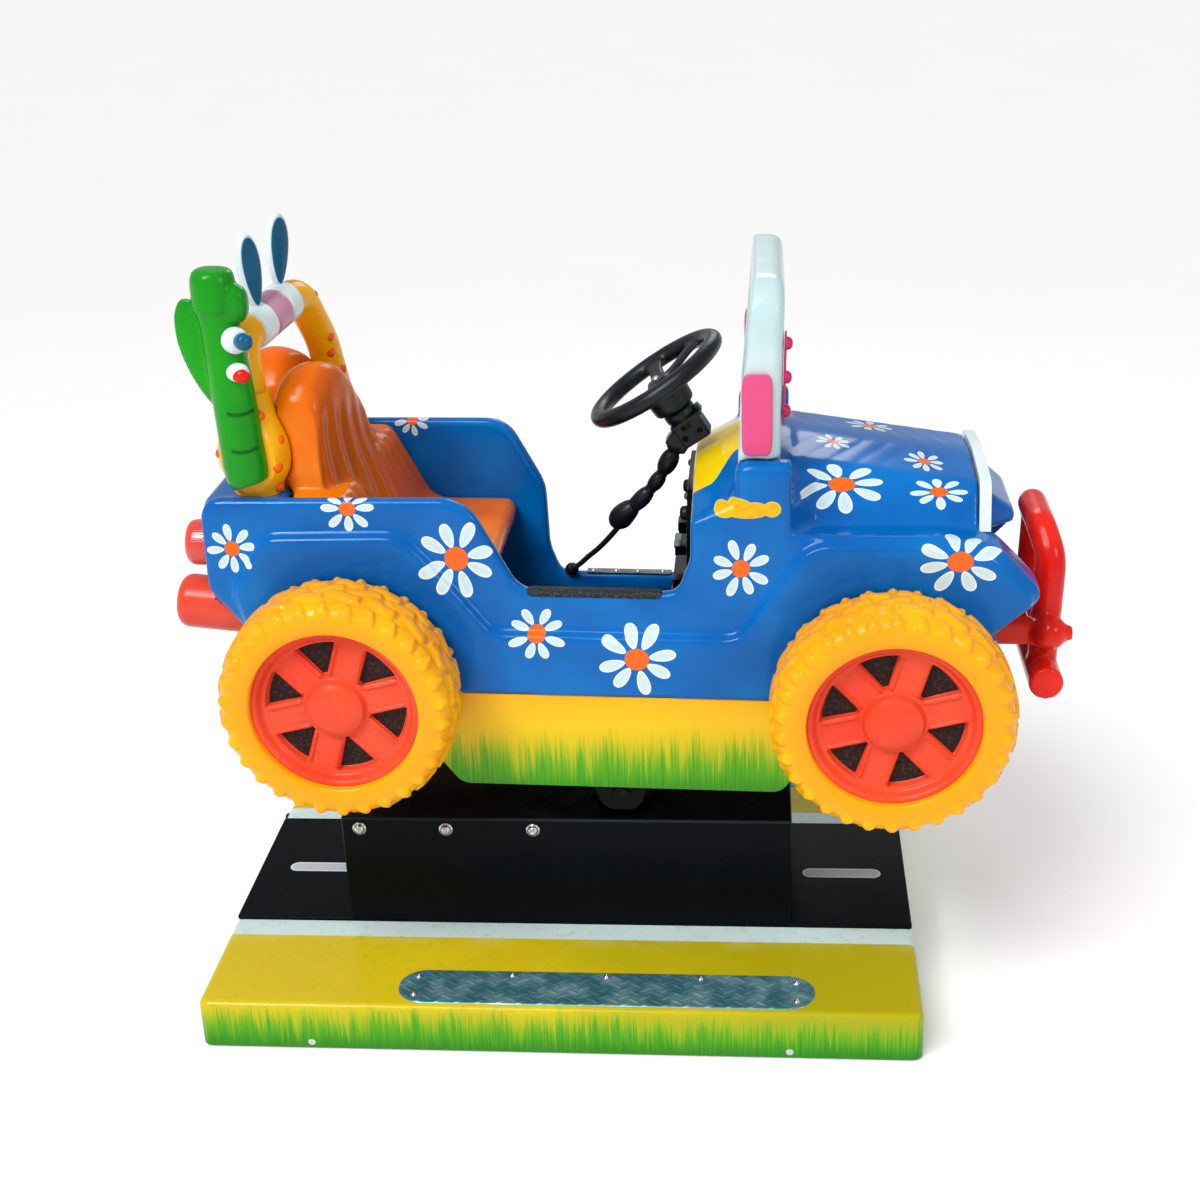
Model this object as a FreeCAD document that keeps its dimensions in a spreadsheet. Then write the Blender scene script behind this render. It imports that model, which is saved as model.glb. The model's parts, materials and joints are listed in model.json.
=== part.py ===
import FreeCAD, Part
import math
import os
from FreeCAD import Placement, Rotation, Vector

# Coin-operated ride-on car: a small open car body that rocks on a pivot above a plinth.
# +X is the car's forward direction, +Y its left side, +Z up. The origin is on the floor,
# at the centre of the plinth. The car is drawn level and then pitched about its pivot.

sizes = {
    # plinth
    "baseLong": 1200, "baseWide": 850, "baseTall": 88, "baseWall": 6, "baseLift": 3,
    "baseCorner": 18, "baseEdge": 12,
    "glandY": 250, "glandZ": 50, "glandStem": 8, "glandBore": 4.5,
    "frameBar": 40, "frameTall": 30, "padThick": 8, "padSide": 100,
    "anchorX": 500, "anchorY": 335, "anchorHole": 6,
    "stripWide": 350, "stripThick": 6,
    "stepLong": 694, "stepWide": 92, "stepThick": 3, "stepMidX": 79, "stepMidY": 367,
    # drive housing and pivot
    "coverLong": 780, "coverWide": 352, "coverTop": 300, "coverSheet": 3,
    "slotLong": 120, "slotWide": 26,
    "motorLong": 240, "motorWide": 160, "motorTall": 150, "motorMidX": -210,
    "pivotX": 100, "pivotZ": 345, "shaftRadius": 15, "shaftReach": 172,
    "earMidY": 100, "earThick": 12, "earFoot": 90, "earHead": 32,
    "pitch": 1.45,
    # rocking frame and axles
    "railMidY": 145, "railSide": 40, "railLow": 400, "railBack": -420, "railFront": 640,
    "bearingGap": 0.05,
    "rearX": -336, "frontX": 536, "hubZ": 590, "axleSide": 40, "axleHalf": 196,
    "spindleRadius": 10, "spindleEnd": 351,
    # wheels
    "tyreRadius": 186, "lugTall": 8, "tyreWide": 131, "tyreOuterY": 379, "tyreBead": 134,
    "rimRadius": 134, "hubCap": 44, "lugCount": 24,
    # body panels
    "sideY": 225, "wall": 25, "flare": 16, "archRadius": 166, "bodyLow": 565,
    "wellRadius": 188, "wellThick": 6, "wellLow": 540, "spindleGap": 4,
    "sillRight": 743, "sillLeft": 600, "tailX": -566, "rimZ": 892, "fenderZ": 845,
    "noseX": 668, "apronLow": 620, "apronThick": 12,
    # cowl: its ridge climbs from the dash to the windshield
    "cowlBack": 216, "cowlRise": 306, "cowlFront": 372, "cowlLow": 852, "cowlSkin": 12,
    "dashShoulder": 862, "dashPeak": 925, "cowlShoulder": 908, "cowlPeak": 977, "ridgeRound": 450,
    "capThick": 14, "capHalf": 170, "blendLong": 40,
    "bossBack": 284, "bossLong": 88, "bossWide": 48, "bossTop": 962, "bossEdge": 20,
    "skirtLow": 398, "skirtOuter": 236, "skirtThick": 8,
    "floorZ": 545, "floorThick": 4,
    # windshield
    "postY": 205, "postTop": 1238, "postBack": 288, "postFront": 354, "postLean": 16,
    # steering
    "wheelMidX": 150, "wheelMidZ": 1032, "wheelTilt": 34, "gripRing": 112, "gripTube": 15,
}

doc = FreeCAD.newDocument("RideOnCar")
sheet = doc.addObject("Spreadsheet::Sheet", "Sizes")
for row, (alias, amount) in enumerate(sizes.items(), start=1):
    sheet.set(f"A{row}", alias)
    sheet.set(f"B{row}", str(amount))
    sheet.setAlias(f"B{row}", alias)
doc.recompute()

nodes = {}
base_place = Placement()
pivot = Vector(sizes["pivotX"], 0, sizes["pivotZ"])
car_place = Placement(Vector(0, 0, 0), Rotation(Vector(0, 1, 0), sizes["pitch"]), pivot)


def size(alias):
    return float(sheet.get(alias))


def register(item, label, place):
    item.Label = label
    item.Placement = place
    nodes[label] = item
    return item


def bind(item, **expressions):
    for name, expression in expressions.items():
        item.setExpression(name.replace("_", "."), expression)
    return item


def box(name, length, width, height, x, y, z):
    item = doc.addObject("Part::Box", name)
    return bind(item, Length=length, Width=width, Height=height,
                Placement_Base_x=x, Placement_Base_y=y, Placement_Base_z=z)


def cylinder(name, radius, height, x, y, z, axis=Vector(0, 0, 1)):
    item = doc.addObject("Part::Cylinder", name)
    item.Placement = Placement(Vector(), Rotation(Vector(0, 0, 1), axis))
    return bind(item, Radius=radius, Height=height,
                Placement_Base_x=x, Placement_Base_y=y, Placement_Base_z=z)


def fuse(name, items):
    item = doc.addObject("Part::MultiFuse", name)
    item.Shapes = items
    return item


def group(name, items):
    item = doc.addObject("Part::Compound", name)
    item.Links = items
    return item


def cut(name, base, tool):
    item = doc.addObject("Part::Cut", name)
    item.Base = base
    item.Tool = tool
    return item


def feature(name, shape):
    item = doc.addObject("Part::Feature", name)
    item.Shape = shape
    return item


def corner(before, here, after, radius):
    """Tangent points and middle point of the arc that rounds one corner of an outline."""
    back = (before - here).normalize()
    ahead = (after - here).normalize()
    half = back.getAngle(ahead) / 2
    reach = radius / math.tan(half)
    bisector = (back + ahead).normalize()
    centre = here + bisector * (radius / math.sin(half))
    return here + back * reach, centre - bisector * radius, here + ahead * reach


def rounded_edges(points, closed=True):
    """Lines and tangent arcs through points given as (vector, radius)."""
    spots = [Vector(p) for p, _ in points]
    starts, ends, arcs = [], [], []
    count = len(points)
    for i, (here, radius) in enumerate(points):
        inner = closed or 0 < i < count - 1
        if radius > 0 and inner:
            first, middle, last = corner(spots[i - 1], spots[i], spots[(i + 1) % count], radius)
            arcs.append((first, middle, last))
        else:
            first = last = spots[i]
            arcs.append(None)
        starts.append(first)
        ends.append(last)
    edges = []
    for i in range(count):
        if arcs[i]:
            edges.append(Part.Arc(*arcs[i]))
        if i < count - 1 or closed:
            nearby, following = ends[i], starts[(i + 1) % count]
            if nearby.distanceToPoint(following) > 1e-4:
                edges.append(Part.LineSegment(nearby, following))
    return edges


def flat(points):
    return [(Vector(p[0], p[1], 0), p[2] if len(p) > 2 else 0) for p in points]


def arch(mid_x, from_angle, to_angle, alias="archRadius"):
    """Wheel arch as an arc in the outline, angles in degrees about the hub."""
    radius = size(alias)
    spots = []
    for angle in (from_angle, (from_angle + to_angle) / 2, to_angle):
        turn = math.radians(angle)
        spots.append(Vector(mid_x + radius * math.cos(turn),
                            size("hubZ") + radius * math.sin(turn), 0))
    return Part.Arc(*spots)


planes = {"XY": "XY_Plane", "XZ": "XZ_Plane", "YZ": "YZ_Plane"}


def new_sketch(body, name, plane, offset, edges):
    sketch = body.newObject("Sketcher::SketchObject", name)
    role = planes[plane]
    origin_plane = [f for f in body.Origin.OriginFeatures if f.Role == role][0]
    sketch.AttachmentSupport = (origin_plane, [""])
    sketch.MapMode = "FlatFace"
    sketch.AttachmentOffset = Placement(Vector(0, 0, offset), Rotation())
    sketch.addGeometry(edges, False)
    return sketch


def new_body(name):
    return doc.addObject("PartDesign::Body", name)


def pad(body, name, plane, offset, edges, length, reverse=False):
    sketch = new_sketch(body, name + "Outline", plane, offset, edges)
    item = body.newObject("PartDesign::Pad", name)
    item.Profile = sketch
    item.Reversed = reverse
    item.setExpression("Length", length)
    doc.recompute()
    return item


def pocket(body, name, plane, offset, edges, length, reverse=False):
    sketch = new_sketch(body, name + "Outline", plane, offset, edges)
    before = body.Shape.Volume
    item = body.newObject("PartDesign::Pocket", name)
    item.Profile = sketch
    item.Reversed = reverse
    item.setExpression("Length", length)
    doc.recompute()
    if body.Shape.Volume > before - 1:
        raise RuntimeError(name + " cuts nothing")
    return item


def fillet(body, name, radius, chosen):
    """Rounds the edges of the body's tip for which chosen(edge) is true."""
    tip = body.Tip
    picked = [f"Edge{i}" for i, edge in enumerate(tip.Shape.Edges, start=1) if chosen(edge)]
    item = body.newObject("PartDesign::Fillet", name)
    item.Base = (tip, picked)
    item.Radius = radius
    doc.recompute()
    return item


def on_plane(axis, place, slack=0.01):
    def chosen(edge):
        box_of = edge.BoundBox
        low = getattr(box_of, axis + "Min")
        high = getattr(box_of, axis + "Max")
        return abs(low - place) < slack and abs(high - place) < slack
    return chosen


def rectangle(x0, y0, x1, y1, radius=0):
    return rounded_edges(flat([(x0, y0, radius), (x1, y0, radius),
                               (x1, y1, radius), (x0, y1, radius)]))


def tube(points, radius):
    """Round bar along straight runs joined by tangent arcs."""
    edges = [curve.toShape() for curve in rounded_edges(points, closed=False)]
    path = Part.Wire(edges)
    first, second = points[0][0], points[1][0]
    ring = Part.Wire([Part.Circle(first, second - first, radius).toShape()])
    return path.makePipeShell([ring], True, True)


def level_shape(label):
    """A finished node's shape as drawn, before the car is pitched."""
    shape = nodes[label].Shape.copy()
    shape.Placement = Placement()
    return shape


def section(x, points):
    """Closed wire across the car at x, from (y, z, radius) points."""
    spots = [(Vector(x, p[0], p[1]), p[2]) for p in points]
    return Part.Wire([curve.toShape() for curve in rounded_edges(spots)])


# ---------------------------------------------------------------- plinth

def make_base_deck():
    half_long, half_wide = size("baseLong") / 2, size("baseWide") / 2
    wall, lift = size("baseWall"), size("baseLift")
    body = new_body("BaseDeck")
    pad(body, "DeckOuter", "XY", lift,
        rectangle(-half_long, -half_wide, half_long, half_wide, size("baseCorner")),
        "Sizes.baseTall - Sizes.baseLift")
    fillet(body, "DeckEdge", size("baseEdge"), on_plane("Z", size("baseTall")))
    pocket(body, "DeckHollow", "XY", lift,
           rectangle(wall - half_long, wall - half_wide, half_long - wall, half_wide - wall,
                     size("baseCorner") - wall),
           "Sizes.baseTall - Sizes.baseLift - Sizes.baseWall", True)
    stem = size("glandStem")
    hole = [Part.Circle(Vector(size("glandY"), size("glandZ"), 0), Vector(0, 0, 1), stem)]
    pocket(body, "GlandHole", "YZ", -half_long - 2, hole, "Sizes.baseWall + 4", True)
    register(body, "base_deck", base_place)


def make_mains_gland():
    """Cable gland through the rear wall of the plinth, with its bore for the mains cable."""
    back = size("baseLong") / 2
    middle = Vector(-back, size("glandY"), size("glandZ"))
    ahead = Vector(1, 0, 0)
    nut = Part.Face(ring_wire(14, 0, 6)).extrude(Vector(0, 0, 8))
    nut.Placement = Placement(middle - ahead * 8, Rotation(Vector(0, 0, 1), ahead))
    dome = Part.makeCone(8, 11.5, 10, middle - ahead * 18, ahead)
    stem = Part.makeCylinder(size("glandStem"), 14, middle, ahead)
    bore = Part.makeCylinder(size("glandBore"), 40, middle - ahead * 20, ahead)
    register(feature("MainsGland", nut.multiFuse([dome, stem]).cut(bore)), "mains_gland", base_place)


def make_base_frame():
    inner = "(Sizes.baseWide / 2 - Sizes.baseWall)"
    items = []
    for side in (-1, 1):
        edge = f"-{inner}" if side < 0 else f"{inner} - Sizes.frameBar"
        items.append(box("SideRail", "Sizes.baseLong - 80", "Sizes.frameBar", "Sizes.frameTall",
                         "40 - Sizes.baseLong / 2", edge, "Sizes.padThick"))
    for place in (-480, -160, 20, 180, 480):
        items.append(box("CrossRail", "Sizes.frameBar", f"2 * ({inner} - Sizes.frameBar)",
                         "Sizes.frameTall", f"{place} - Sizes.frameBar / 2",
                         f"Sizes.frameBar - {inner}", "Sizes.padThick"))
    for place in (20, 180):
        for side in (-1, 1):
            items.append(cylinder("DeckSpacer", "15",
                                  "Sizes.baseTall - Sizes.baseWall - Sizes.padThick - Sizes.frameTall",
                                  str(place), str(side * 90), "Sizes.padThick + Sizes.frameTall"))
    holes = []
    for end in (-1, 1):
        for side in (-1, 1):
            items.append(box("FootPlate", "Sizes.padSide", "Sizes.padSide", "Sizes.padThick",
                             f"{end} * Sizes.anchorX - Sizes.padSide / 2",
                             f"{side} * Sizes.anchorY - Sizes.padSide / 2", "0"))
            holes.append(cylinder("AnchorHole", "Sizes.anchorHole", "Sizes.padThick + 4",
                                  f"{end} * Sizes.anchorX", f"{side} * Sizes.anchorY", "-2"))
    register(cut("BaseFrame", fuse("FrameBars", items), fuse("AnchorHoles", holes)),
             "base_frame", base_place)


def make_road_strip():
    half_long, half_wide = size("baseLong") / 2 - 2, size("stripWide") / 2
    body = new_body("RoadStrip")
    pad(body, "StripPad", "XY", size("baseTall"),
        rectangle(-half_long, -half_wide, half_long, half_wide, 6), "Sizes.stripThick")
    fillet(body, "StripEdge", 3, on_plane("Z", size("baseTall") + size("stripThick")))
    register(body, "road_strip", base_place)


def make_step_plates():
    plates = []
    for side in (-1, 1):
        body = new_body("StepPlate")
        half_long, half_wide = size("stepLong") / 2, size("stepWide") / 2
        mid_x, mid_y = size("stepMidX"), side * size("stepMidY")
        pad(body, "StepPad", "XY", size("baseTall"),
            rectangle(mid_x - half_long, mid_y - half_wide, mid_x + half_long,
                      mid_y + half_wide, half_wide - 0.5), "Sizes.stepThick")
        plates.append(body)
    register(group("StepPlates", plates), "step_plates", base_place)


def make_drive_cover():
    low = size("baseTall") + size("stripThick")
    half_long, half_wide, sheet_thick = size("coverLong") / 2, size("coverWide") / 2, size("coverSheet")
    body = new_body("DriveCover")
    pad(body, "CoverOuter", "XY", low,
        rectangle(-half_long, -half_wide, half_long, half_wide, 5),
        "Sizes.coverTop - Sizes.baseTall - Sizes.stripThick")
    fillet(body, "CoverEdge", 4, on_plane("Z", size("coverTop")))
    pocket(body, "CoverHollow", "XY", low,
           rectangle(sheet_thick - half_long, sheet_thick - half_wide,
                     half_long - sheet_thick, half_wide - sheet_thick, 2),
           "Sizes.coverTop - Sizes.baseTall - Sizes.stripThick - Sizes.coverSheet", True)
    for side in (-1, 1):
        mid_x, mid_y = size("pivotX"), side * size("earMidY")
        pocket(body, "EarSlot", "XY", size("coverTop"),
               rectangle(mid_x - size("slotLong") / 2, mid_y - size("slotWide") / 2,
                         mid_x + size("slotLong") / 2, mid_y + size("slotWide") / 2, 5),
               "Sizes.coverSheet + 2")
    register(body, "drive_cover", base_place)


def make_gearmotor():
    item = box("Gearmotor", "Sizes.motorLong", "Sizes.motorWide", "Sizes.motorTall",
               "Sizes.motorMidX - Sizes.motorLong / 2", "-Sizes.motorWide / 2",
               "Sizes.baseTall + Sizes.stripThick")
    item.Label = "gearmotor"
    nodes["gearmotor"] = item


def make_pivot_stand():
    low = size("baseTall") + size("stripThick")
    mid_x, top, head = size("pivotX"), size("pivotZ"), size("earHead")
    foot = box("StandFoot", "220", "280", "10", "Sizes.pivotX - 110", "-140",
               "Sizes.baseTall + Sizes.stripThick")
    items = [foot]
    for side in (-1, 1):
        body = new_body("StandEar")
        half = size("earFoot")
        outline = flat([(mid_x - half, low + 10, 0), (mid_x + half, low + 10, 0),
                        (mid_x + head, top + head, head - 0.5), (mid_x - head, top + head, head - 0.5)])
        near = -(side * size("earMidY")) - size("earThick") / 2
        pad(body, "EarPad", "XZ", near, rounded_edges(outline), "Sizes.earThick")
        items.append(body)
    items.append(cylinder("PivotShaft", "Sizes.shaftRadius", "2 * Sizes.shaftReach",
                          "Sizes.pivotX", "-Sizes.shaftReach", "Sizes.pivotZ", Vector(0, 1, 0)))
    register(fuse("PivotStand", items), "pivot_stand", base_place)


# ---------------------------------------------------------------- rocking frame

def bar(name, x0, x1, y0, y1, z0, z1):
    return box(name, f"({x1}) - ({x0})", f"({y1}) - ({y0})", f"({z1}) - ({z0})",
               str(x0), str(y0), str(z0))


def make_rocker_frame():
    side_bar = "Sizes.railSide / 2"
    rail_top = "Sizes.railLow + Sizes.railSide"
    items = []
    for side in (-1, 1):
        mid = f"{side} * Sizes.railMidY"
        items.append(bar("Rail", "Sizes.railBack", "Sizes.railFront", f"{mid} - {side_bar}",
                         f"{mid} + {side_bar}", "Sizes.railLow", rail_top))
        for hub in ("Sizes.rearX", "Sizes.frontX"):
            items.append(bar("AxlePost", f"{hub} - {side_bar}", f"{hub} + {side_bar}",
                             f"{mid} - {side_bar}", f"{mid} + {side_bar}", rail_top,
                             "Sizes.hubZ - Sizes.axleSide / 2"))
        for place in (-60, 170):
            items.append(bar("FloorPost", f"{place} - {side_bar}", f"{place} + {side_bar}",
                             f"{mid} - {side_bar}", f"{mid} + {side_bar}", rail_top,
                             "Sizes.floorZ - 30"))
    for place in ("Sizes.rearX", "Sizes.frontX"):
        items.append(bar("CrossBar", f"{place} - {side_bar}", f"{place} + {side_bar}",
                         f"{side_bar} - Sizes.railMidY", f"Sizes.railMidY - {side_bar}",
                         "Sizes.railLow", rail_top))
    for place in (-60, 170):
        items.append(bar("FloorBeam", f"{place} - {side_bar}", f"{place} + {side_bar}",
                         "Sizes.wall - Sizes.sideY", "Sizes.sideY - Sizes.wall",
                         "Sizes.floorZ - 30", "Sizes.floorZ"))
    for side in (-1, 1):
        near = -side * size("railMidY") - size("railSide") / 2
        body = new_body("BearingCheek")
        mid_x, low = size("pivotX"), size("pivotZ")
        outline = flat([(mid_x - 60, size("railLow"), 0), (mid_x - 30, low - 30, 29),
                        (mid_x + 30, low - 30, 29), (mid_x + 60, size("railLow"), 0)])
        pad(body, "CheekPad", "XZ", near, rounded_edges(outline), "Sizes.railSide")
        items.append(body)
    bore = cylinder("PivotBore", "Sizes.shaftRadius + Sizes.bearingGap", "400", "Sizes.pivotX",
                    "-200", "Sizes.pivotZ", Vector(0, 1, 0))
    register(cut("RockerFrame", fuse("RockerBars", items), bore), "rocker_frame", car_place)


def make_axles():
    items = []
    for hub in ("Sizes.rearX", "Sizes.frontX"):
        beam = bar("AxleBeam", f"{hub} - Sizes.axleSide / 2", f"{hub} + Sizes.axleSide / 2",
                   "-Sizes.axleHalf", "Sizes.axleHalf", "Sizes.hubZ - Sizes.axleSide / 2",
                   "Sizes.hubZ + Sizes.axleSide / 2")
        spindle = cylinder("Spindle", "Sizes.spindleRadius", "2 * Sizes.spindleEnd", hub,
                           "-Sizes.spindleEnd", "Sizes.hubZ", Vector(0, 1, 0))
        items.append(fuse("Axle", [beam, spindle]))
    register(group("Axles", items), "axles", car_place)


# ---------------------------------------------------------------- wheels

def ring_wire(radius, depth, count=48):
    """Polygon of count corners about the local Z axis."""
    spots = [Vector(radius * math.cos(2 * math.pi * i / count),
                    radius * math.sin(2 * math.pi * i / count), depth) for i in range(count)]
    return Part.makePolygon(spots + [spots[0]])


def tyre_shape():
    """Tyre about local Z, outer side up: faceted rings, with lugs across the tread."""
    wide, radius, bead = size("tyreWide"), size("tyreRadius"), size("tyreBead")
    rings = [(bead, 12), (bead + 30, 0), (radius - 6, 16), (radius, 34),
             (radius, wide - 34), (radius - 6, wide - 16), (bead + 32, wide), (bead, wide - 8)]
    wires = [ring_wire(r, z) for r, z in rings]
    faces = []
    for low, high in zip(wires, wires[1:] + wires[:1]):
        faces += Part.makeRuledSurface(low, high).Faces
    body = Part.makeSolid(Part.makeShell(faces))
    lugs = []
    count = int(size("lugCount"))
    tall, length = size("lugTall"), 22
    for i in range(count):
        block = Part.makeBox(30, length, wide - 32, Vector(radius + tall - 30, -length / 2, 16))
        block.rotate(Vector(), Vector(0, 0, 1), 360 * (i + 0.5) / count)
        lugs.append(block)
    return body.multiFuse(lugs)


def rim_shape():
    """Rim about local Z, outer side up: barrel, closed back, bored hub, six ribbed spokes."""
    radius, wide, cap = size("rimRadius"), size("tyreWide"), size("hubCap")
    bore = size("spindleRadius") + size("bearingGap")
    depth = size("spindleEnd") - size("tyreOuterY") + wide + 6
    profile = [(bore, 14), (radius - 8, 14), (radius - 8, 10), (radius - 0.3, 10),
               (radius - 0.3, wide - 6), (radius - 16, wide - 12), (radius - 22, 22), (cap, 22),
               (cap, wide - 15), (cap - 8, wide - 8), (cap - 22, wide - 4), (0, wide - 4),
               (0, depth), (bore, depth)]
    spots = [Vector(x, 0, z) for x, z in profile]
    turned = Part.Face(Part.makePolygon(spots + [spots[0]])).revolve(
        Vector(), Vector(0, 0, 1), 360)
    spokes = []
    for i in range(6):
        ribbed = [(-25, wide - 42), (25, wide - 42), (25, wide - 20), (16, wide - 20),
                  (13, wide - 25), (-13, wide - 25), (-16, wide - 20), (-25, wide - 20)]
        spots = [Vector(cap - 8, y, z) for y, z in ribbed]
        spoke = Part.Face(Part.makePolygon(spots + [spots[0]])).extrude(
            Vector(radius - cap, 0, 0))
        spoke.rotate(Vector(), Vector(0, 0, 1), 60 * i + 30)
        spokes.append(spoke)
    return turned.multiFuse(spokes)


def make_wheels():
    tyre, rim = tyre_shape(), rim_shape()
    for end, hub_x in (("rear", size("rearX")), ("front", size("frontX"))):
        for hand, side in (("right", -1), ("left", 1)):
            inner = side * (size("tyreOuterY") - size("tyreWide"))
            local = Placement(Vector(hub_x, inner, size("hubZ")),
                              Rotation(Vector(0, 0, 1), Vector(0, side, 0)))
            place = car_place.multiply(local)
            register(feature("Tyre", tyre.copy()), f"tyre_{end}_{hand}", place)
            register(feature("Rim", rim.copy()), f"rim_{end}_{hand}", place)


# ---------------------------------------------------------------- body panels

def side_outline(sill, front_of_rim, dip):
    """Side panel from the tail over the rim, door dip, cowl and fender to the nose."""
    rear_x, front_x = size("rearX"), size("frontX")
    low_angle = math.degrees(math.asin((size("hubZ") - size("bodyLow")) / size("archRadius")))
    rear_arch = arch(rear_x, -low_angle, 161)
    front_arch = arch(front_x, 31, 180 + low_angle)
    tail, rim, back, front = size("tailX"), size("rimZ"), size("cowlBack"), size("cowlFront")
    upper = [(rear_arch.EndPoint.x, rear_arch.EndPoint.y, 0), (tail, 733, 30), (tail, rim - 4, 34),
             front_of_rim] + dip + [
             (back, size("cowlLow"), 0), (front, size("cowlLow"), 0), (front, size("fenderZ"), 0),
             (600, 848, 120), (692, 835, 60), (774, 750, 24),
             (front_arch.StartPoint.x, front_arch.StartPoint.y, 0)]
    edges = rounded_edges(flat(upper), closed=False)
    edges.append(front_arch)
    edges.append(Part.LineSegment(front_arch.EndPoint, rear_arch.StartPoint))
    edges.append(rear_arch)
    return edges


def flare_outline(band):
    """Raised band that runs round both wheels and along the sill."""
    rear_x, front_x = size("rearX"), size("frontX")
    low_angle = math.degrees(math.asin((size("hubZ") - size("bodyLow")) / size("archRadius")))
    rear_arch = arch(rear_x, -low_angle, 161)
    front_arch = arch(front_x, 31, 180 + low_angle)
    upper = [(rear_arch.EndPoint.x, rear_arch.EndPoint.y, 0), (-520, 737, 30), (-466, 830, 45),
             (-240, 838, 70), (-150, 735, 80), (-100, band, 35), (294, band, 35), (343, 748, 90),
             (400, 836, 70), (600, 838, 120), (684, 826, 60), (759, 748, 20),
             (front_arch.StartPoint.x, front_arch.StartPoint.y, 0)]
    edges = rounded_edges(flat(upper), closed=False)
    edges.append(front_arch)
    edges.append(Part.LineSegment(front_arch.EndPoint, rear_arch.StartPoint))
    edges.append(rear_arch)
    return edges


def make_body_side(hand, side, sill, rim_corner, dip, band):
    outer, wall = size("sideY"), size("wall")
    body = new_body("BodySide" + hand)
    # the sketch plane's normal is -Y, so an offset of +y puts it at -y
    start = outer - wall if side < 0 else -outer
    pad(body, "SidePad", "XZ", start, side_outline(sill, rim_corner, dip), "Sizes.wall")
    fillet(body, "SideEdge", 9, rim_edges(side))
    flare_start = outer - 1 if side < 0 else -outer - size("flare")
    pad(body, "FlarePad", "XZ", flare_start, flare_outline(band), "Sizes.flare + 1")
    fender_start = 150 if side < 0 else wall - 1 - outer
    top = [(size("cowlFront"), size("fenderZ"), 0), (600, 848, 120), (692, 835, 60), (774, 750, 24),
           (714, 682, 0), (700, 690, 0), (756, 752, 14), (684, 821, 50), (598, 834, 110),
           (size("cowlFront"), size("fenderZ") - 13, 0)]
    pad(body, "FenderTop", "XZ", fender_start, rounded_edges(flat(top)), "Sizes.wall + 26")
    fillet(body, "FlareEdge", 7, flare_edges(side, band))
    well_start = outer - wall if side < 0 else wall - size("wellThick") - outer
    for hub, first, last in (("rearX", -7, 168), ("frontX", 20, 187)):
        pad(body, "WellWall", "XZ", well_start, well_outline(size(hub), first, last), "Sizes.wellThick")
    register(body, "body_side_" + hand, car_place)


def well_outline(mid_x, first, last):
    """Wall behind a wheel, with a hole for the spindle."""
    edge, low = arch(mid_x, first, last, "wellRadius"), size("wellLow")
    corners = [edge.EndPoint, Vector(edge.EndPoint.x, low, 0), Vector(edge.StartPoint.x, low, 0),
               edge.StartPoint]
    hole = Part.Circle(Vector(mid_x, size("hubZ"), 0), Vector(0, 0, 1),
                       size("spindleRadius") + size("spindleGap"))
    return [edge] + [Part.LineSegment(a, b) for a, b in zip(corners, corners[1:])] + [hole]


def flare_edges(side, band):
    """Outer edge of the raised band, without its lower edge and the arches."""
    wanted = on_plane("Y", side * (size("sideY") + size("flare")))

    def chosen(edge):
        arch_edge = edge.Curve.TypeId == "Part::GeomCircle" and abs(
            edge.Curve.Radius - size("archRadius")) < 0.1
        return wanted(edge) and not arch_edge and edge.BoundBox.ZMax > size("bodyLow") + 1
    return chosen


def rim_edges(side):
    """Both long edges of the panel's top, from the tail to the cowl."""
    def chosen(edge):
        bound = edge.BoundBox
        flat_edge = abs(bound.YMax - bound.YMin) < 0.01
        high = bound.ZMin > size("sillLeft") - 2
        arch_edge = edge.Curve.TypeId == "Part::GeomCircle" and abs(
            edge.Curve.Radius - size("archRadius")) < 0.1
        rear = bound.XMax < size("cowlBack") + 0.1
        return flat_edge and high and rear and not arch_edge
    return chosen


def make_body_sides():
    rim, back = size("rimZ"), size("cowlBack")
    right_dip = [(-56, size("sillRight"), 40), (196, size("sillRight"), 24), (back, 800, 24)]
    left_dip = [(-60, 770, 90), (-54, 650, 60), (-34, size("sillLeft"), 20),
                (184, size("sillLeft"), 24), (back, 680, 40)]
    make_body_side("right", -1, size("sillRight"), (-138, rim + 3, 70), right_dip, 672)
    make_body_side("left", 1, size("sillLeft"), (-128, rim + 1, 60), left_dip, 588)


def make_rear_deck():
    inner = size("sideY") - size("wall")
    tail, rim = size("tailX"), size("rimZ")
    body = new_body("RearDeck")
    outline = [(tail, 700, 12), (tail, rim - 6, 20), (-430, rim - 6, 5), (-430, rim - 20, 5),
               (tail + 24, rim - 20, 8), (tail + 24, 700, 5)]
    pad(body, "DeckPad", "XZ", -inner, rounded_edges(flat(outline)), "2 * (Sizes.sideY - Sizes.wall)")
    register(body, "rear_deck", car_place)


def make_skirts():
    low_angle = math.degrees(math.asin((size("hubZ") - size("bodyLow")) / size("archRadius")))
    rear_arch = arch(size("rearX"), -low_angle, -45)
    front_arch = arch(size("frontX"), 180 + low_angle, 225)
    skirts = []
    for side in (-1, 1):
        body = new_body("Skirt")
        rear_end, front_end = rear_arch.EndPoint, front_arch.EndPoint
        low = size("skirtLow")
        lower = [(rear_end.x, rear_end.y, 0), (-160, low, 30), (370, low, 30),
                 (front_end.x, front_end.y, 0)]
        edges = rounded_edges(flat(lower), closed=False)
        edges += [front_arch, Part.LineSegment(front_arch.StartPoint, rear_arch.StartPoint), rear_arch]
        outer, thick = size("skirtOuter"), size("skirtThick")
        start = outer - thick if side < 0 else -outer
        pad(body, "SkirtPad", "XZ", start, edges, "Sizes.skirtThick")
        skirts.append(body)
    register(group("Skirts", skirts), "skirts", car_place)


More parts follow.
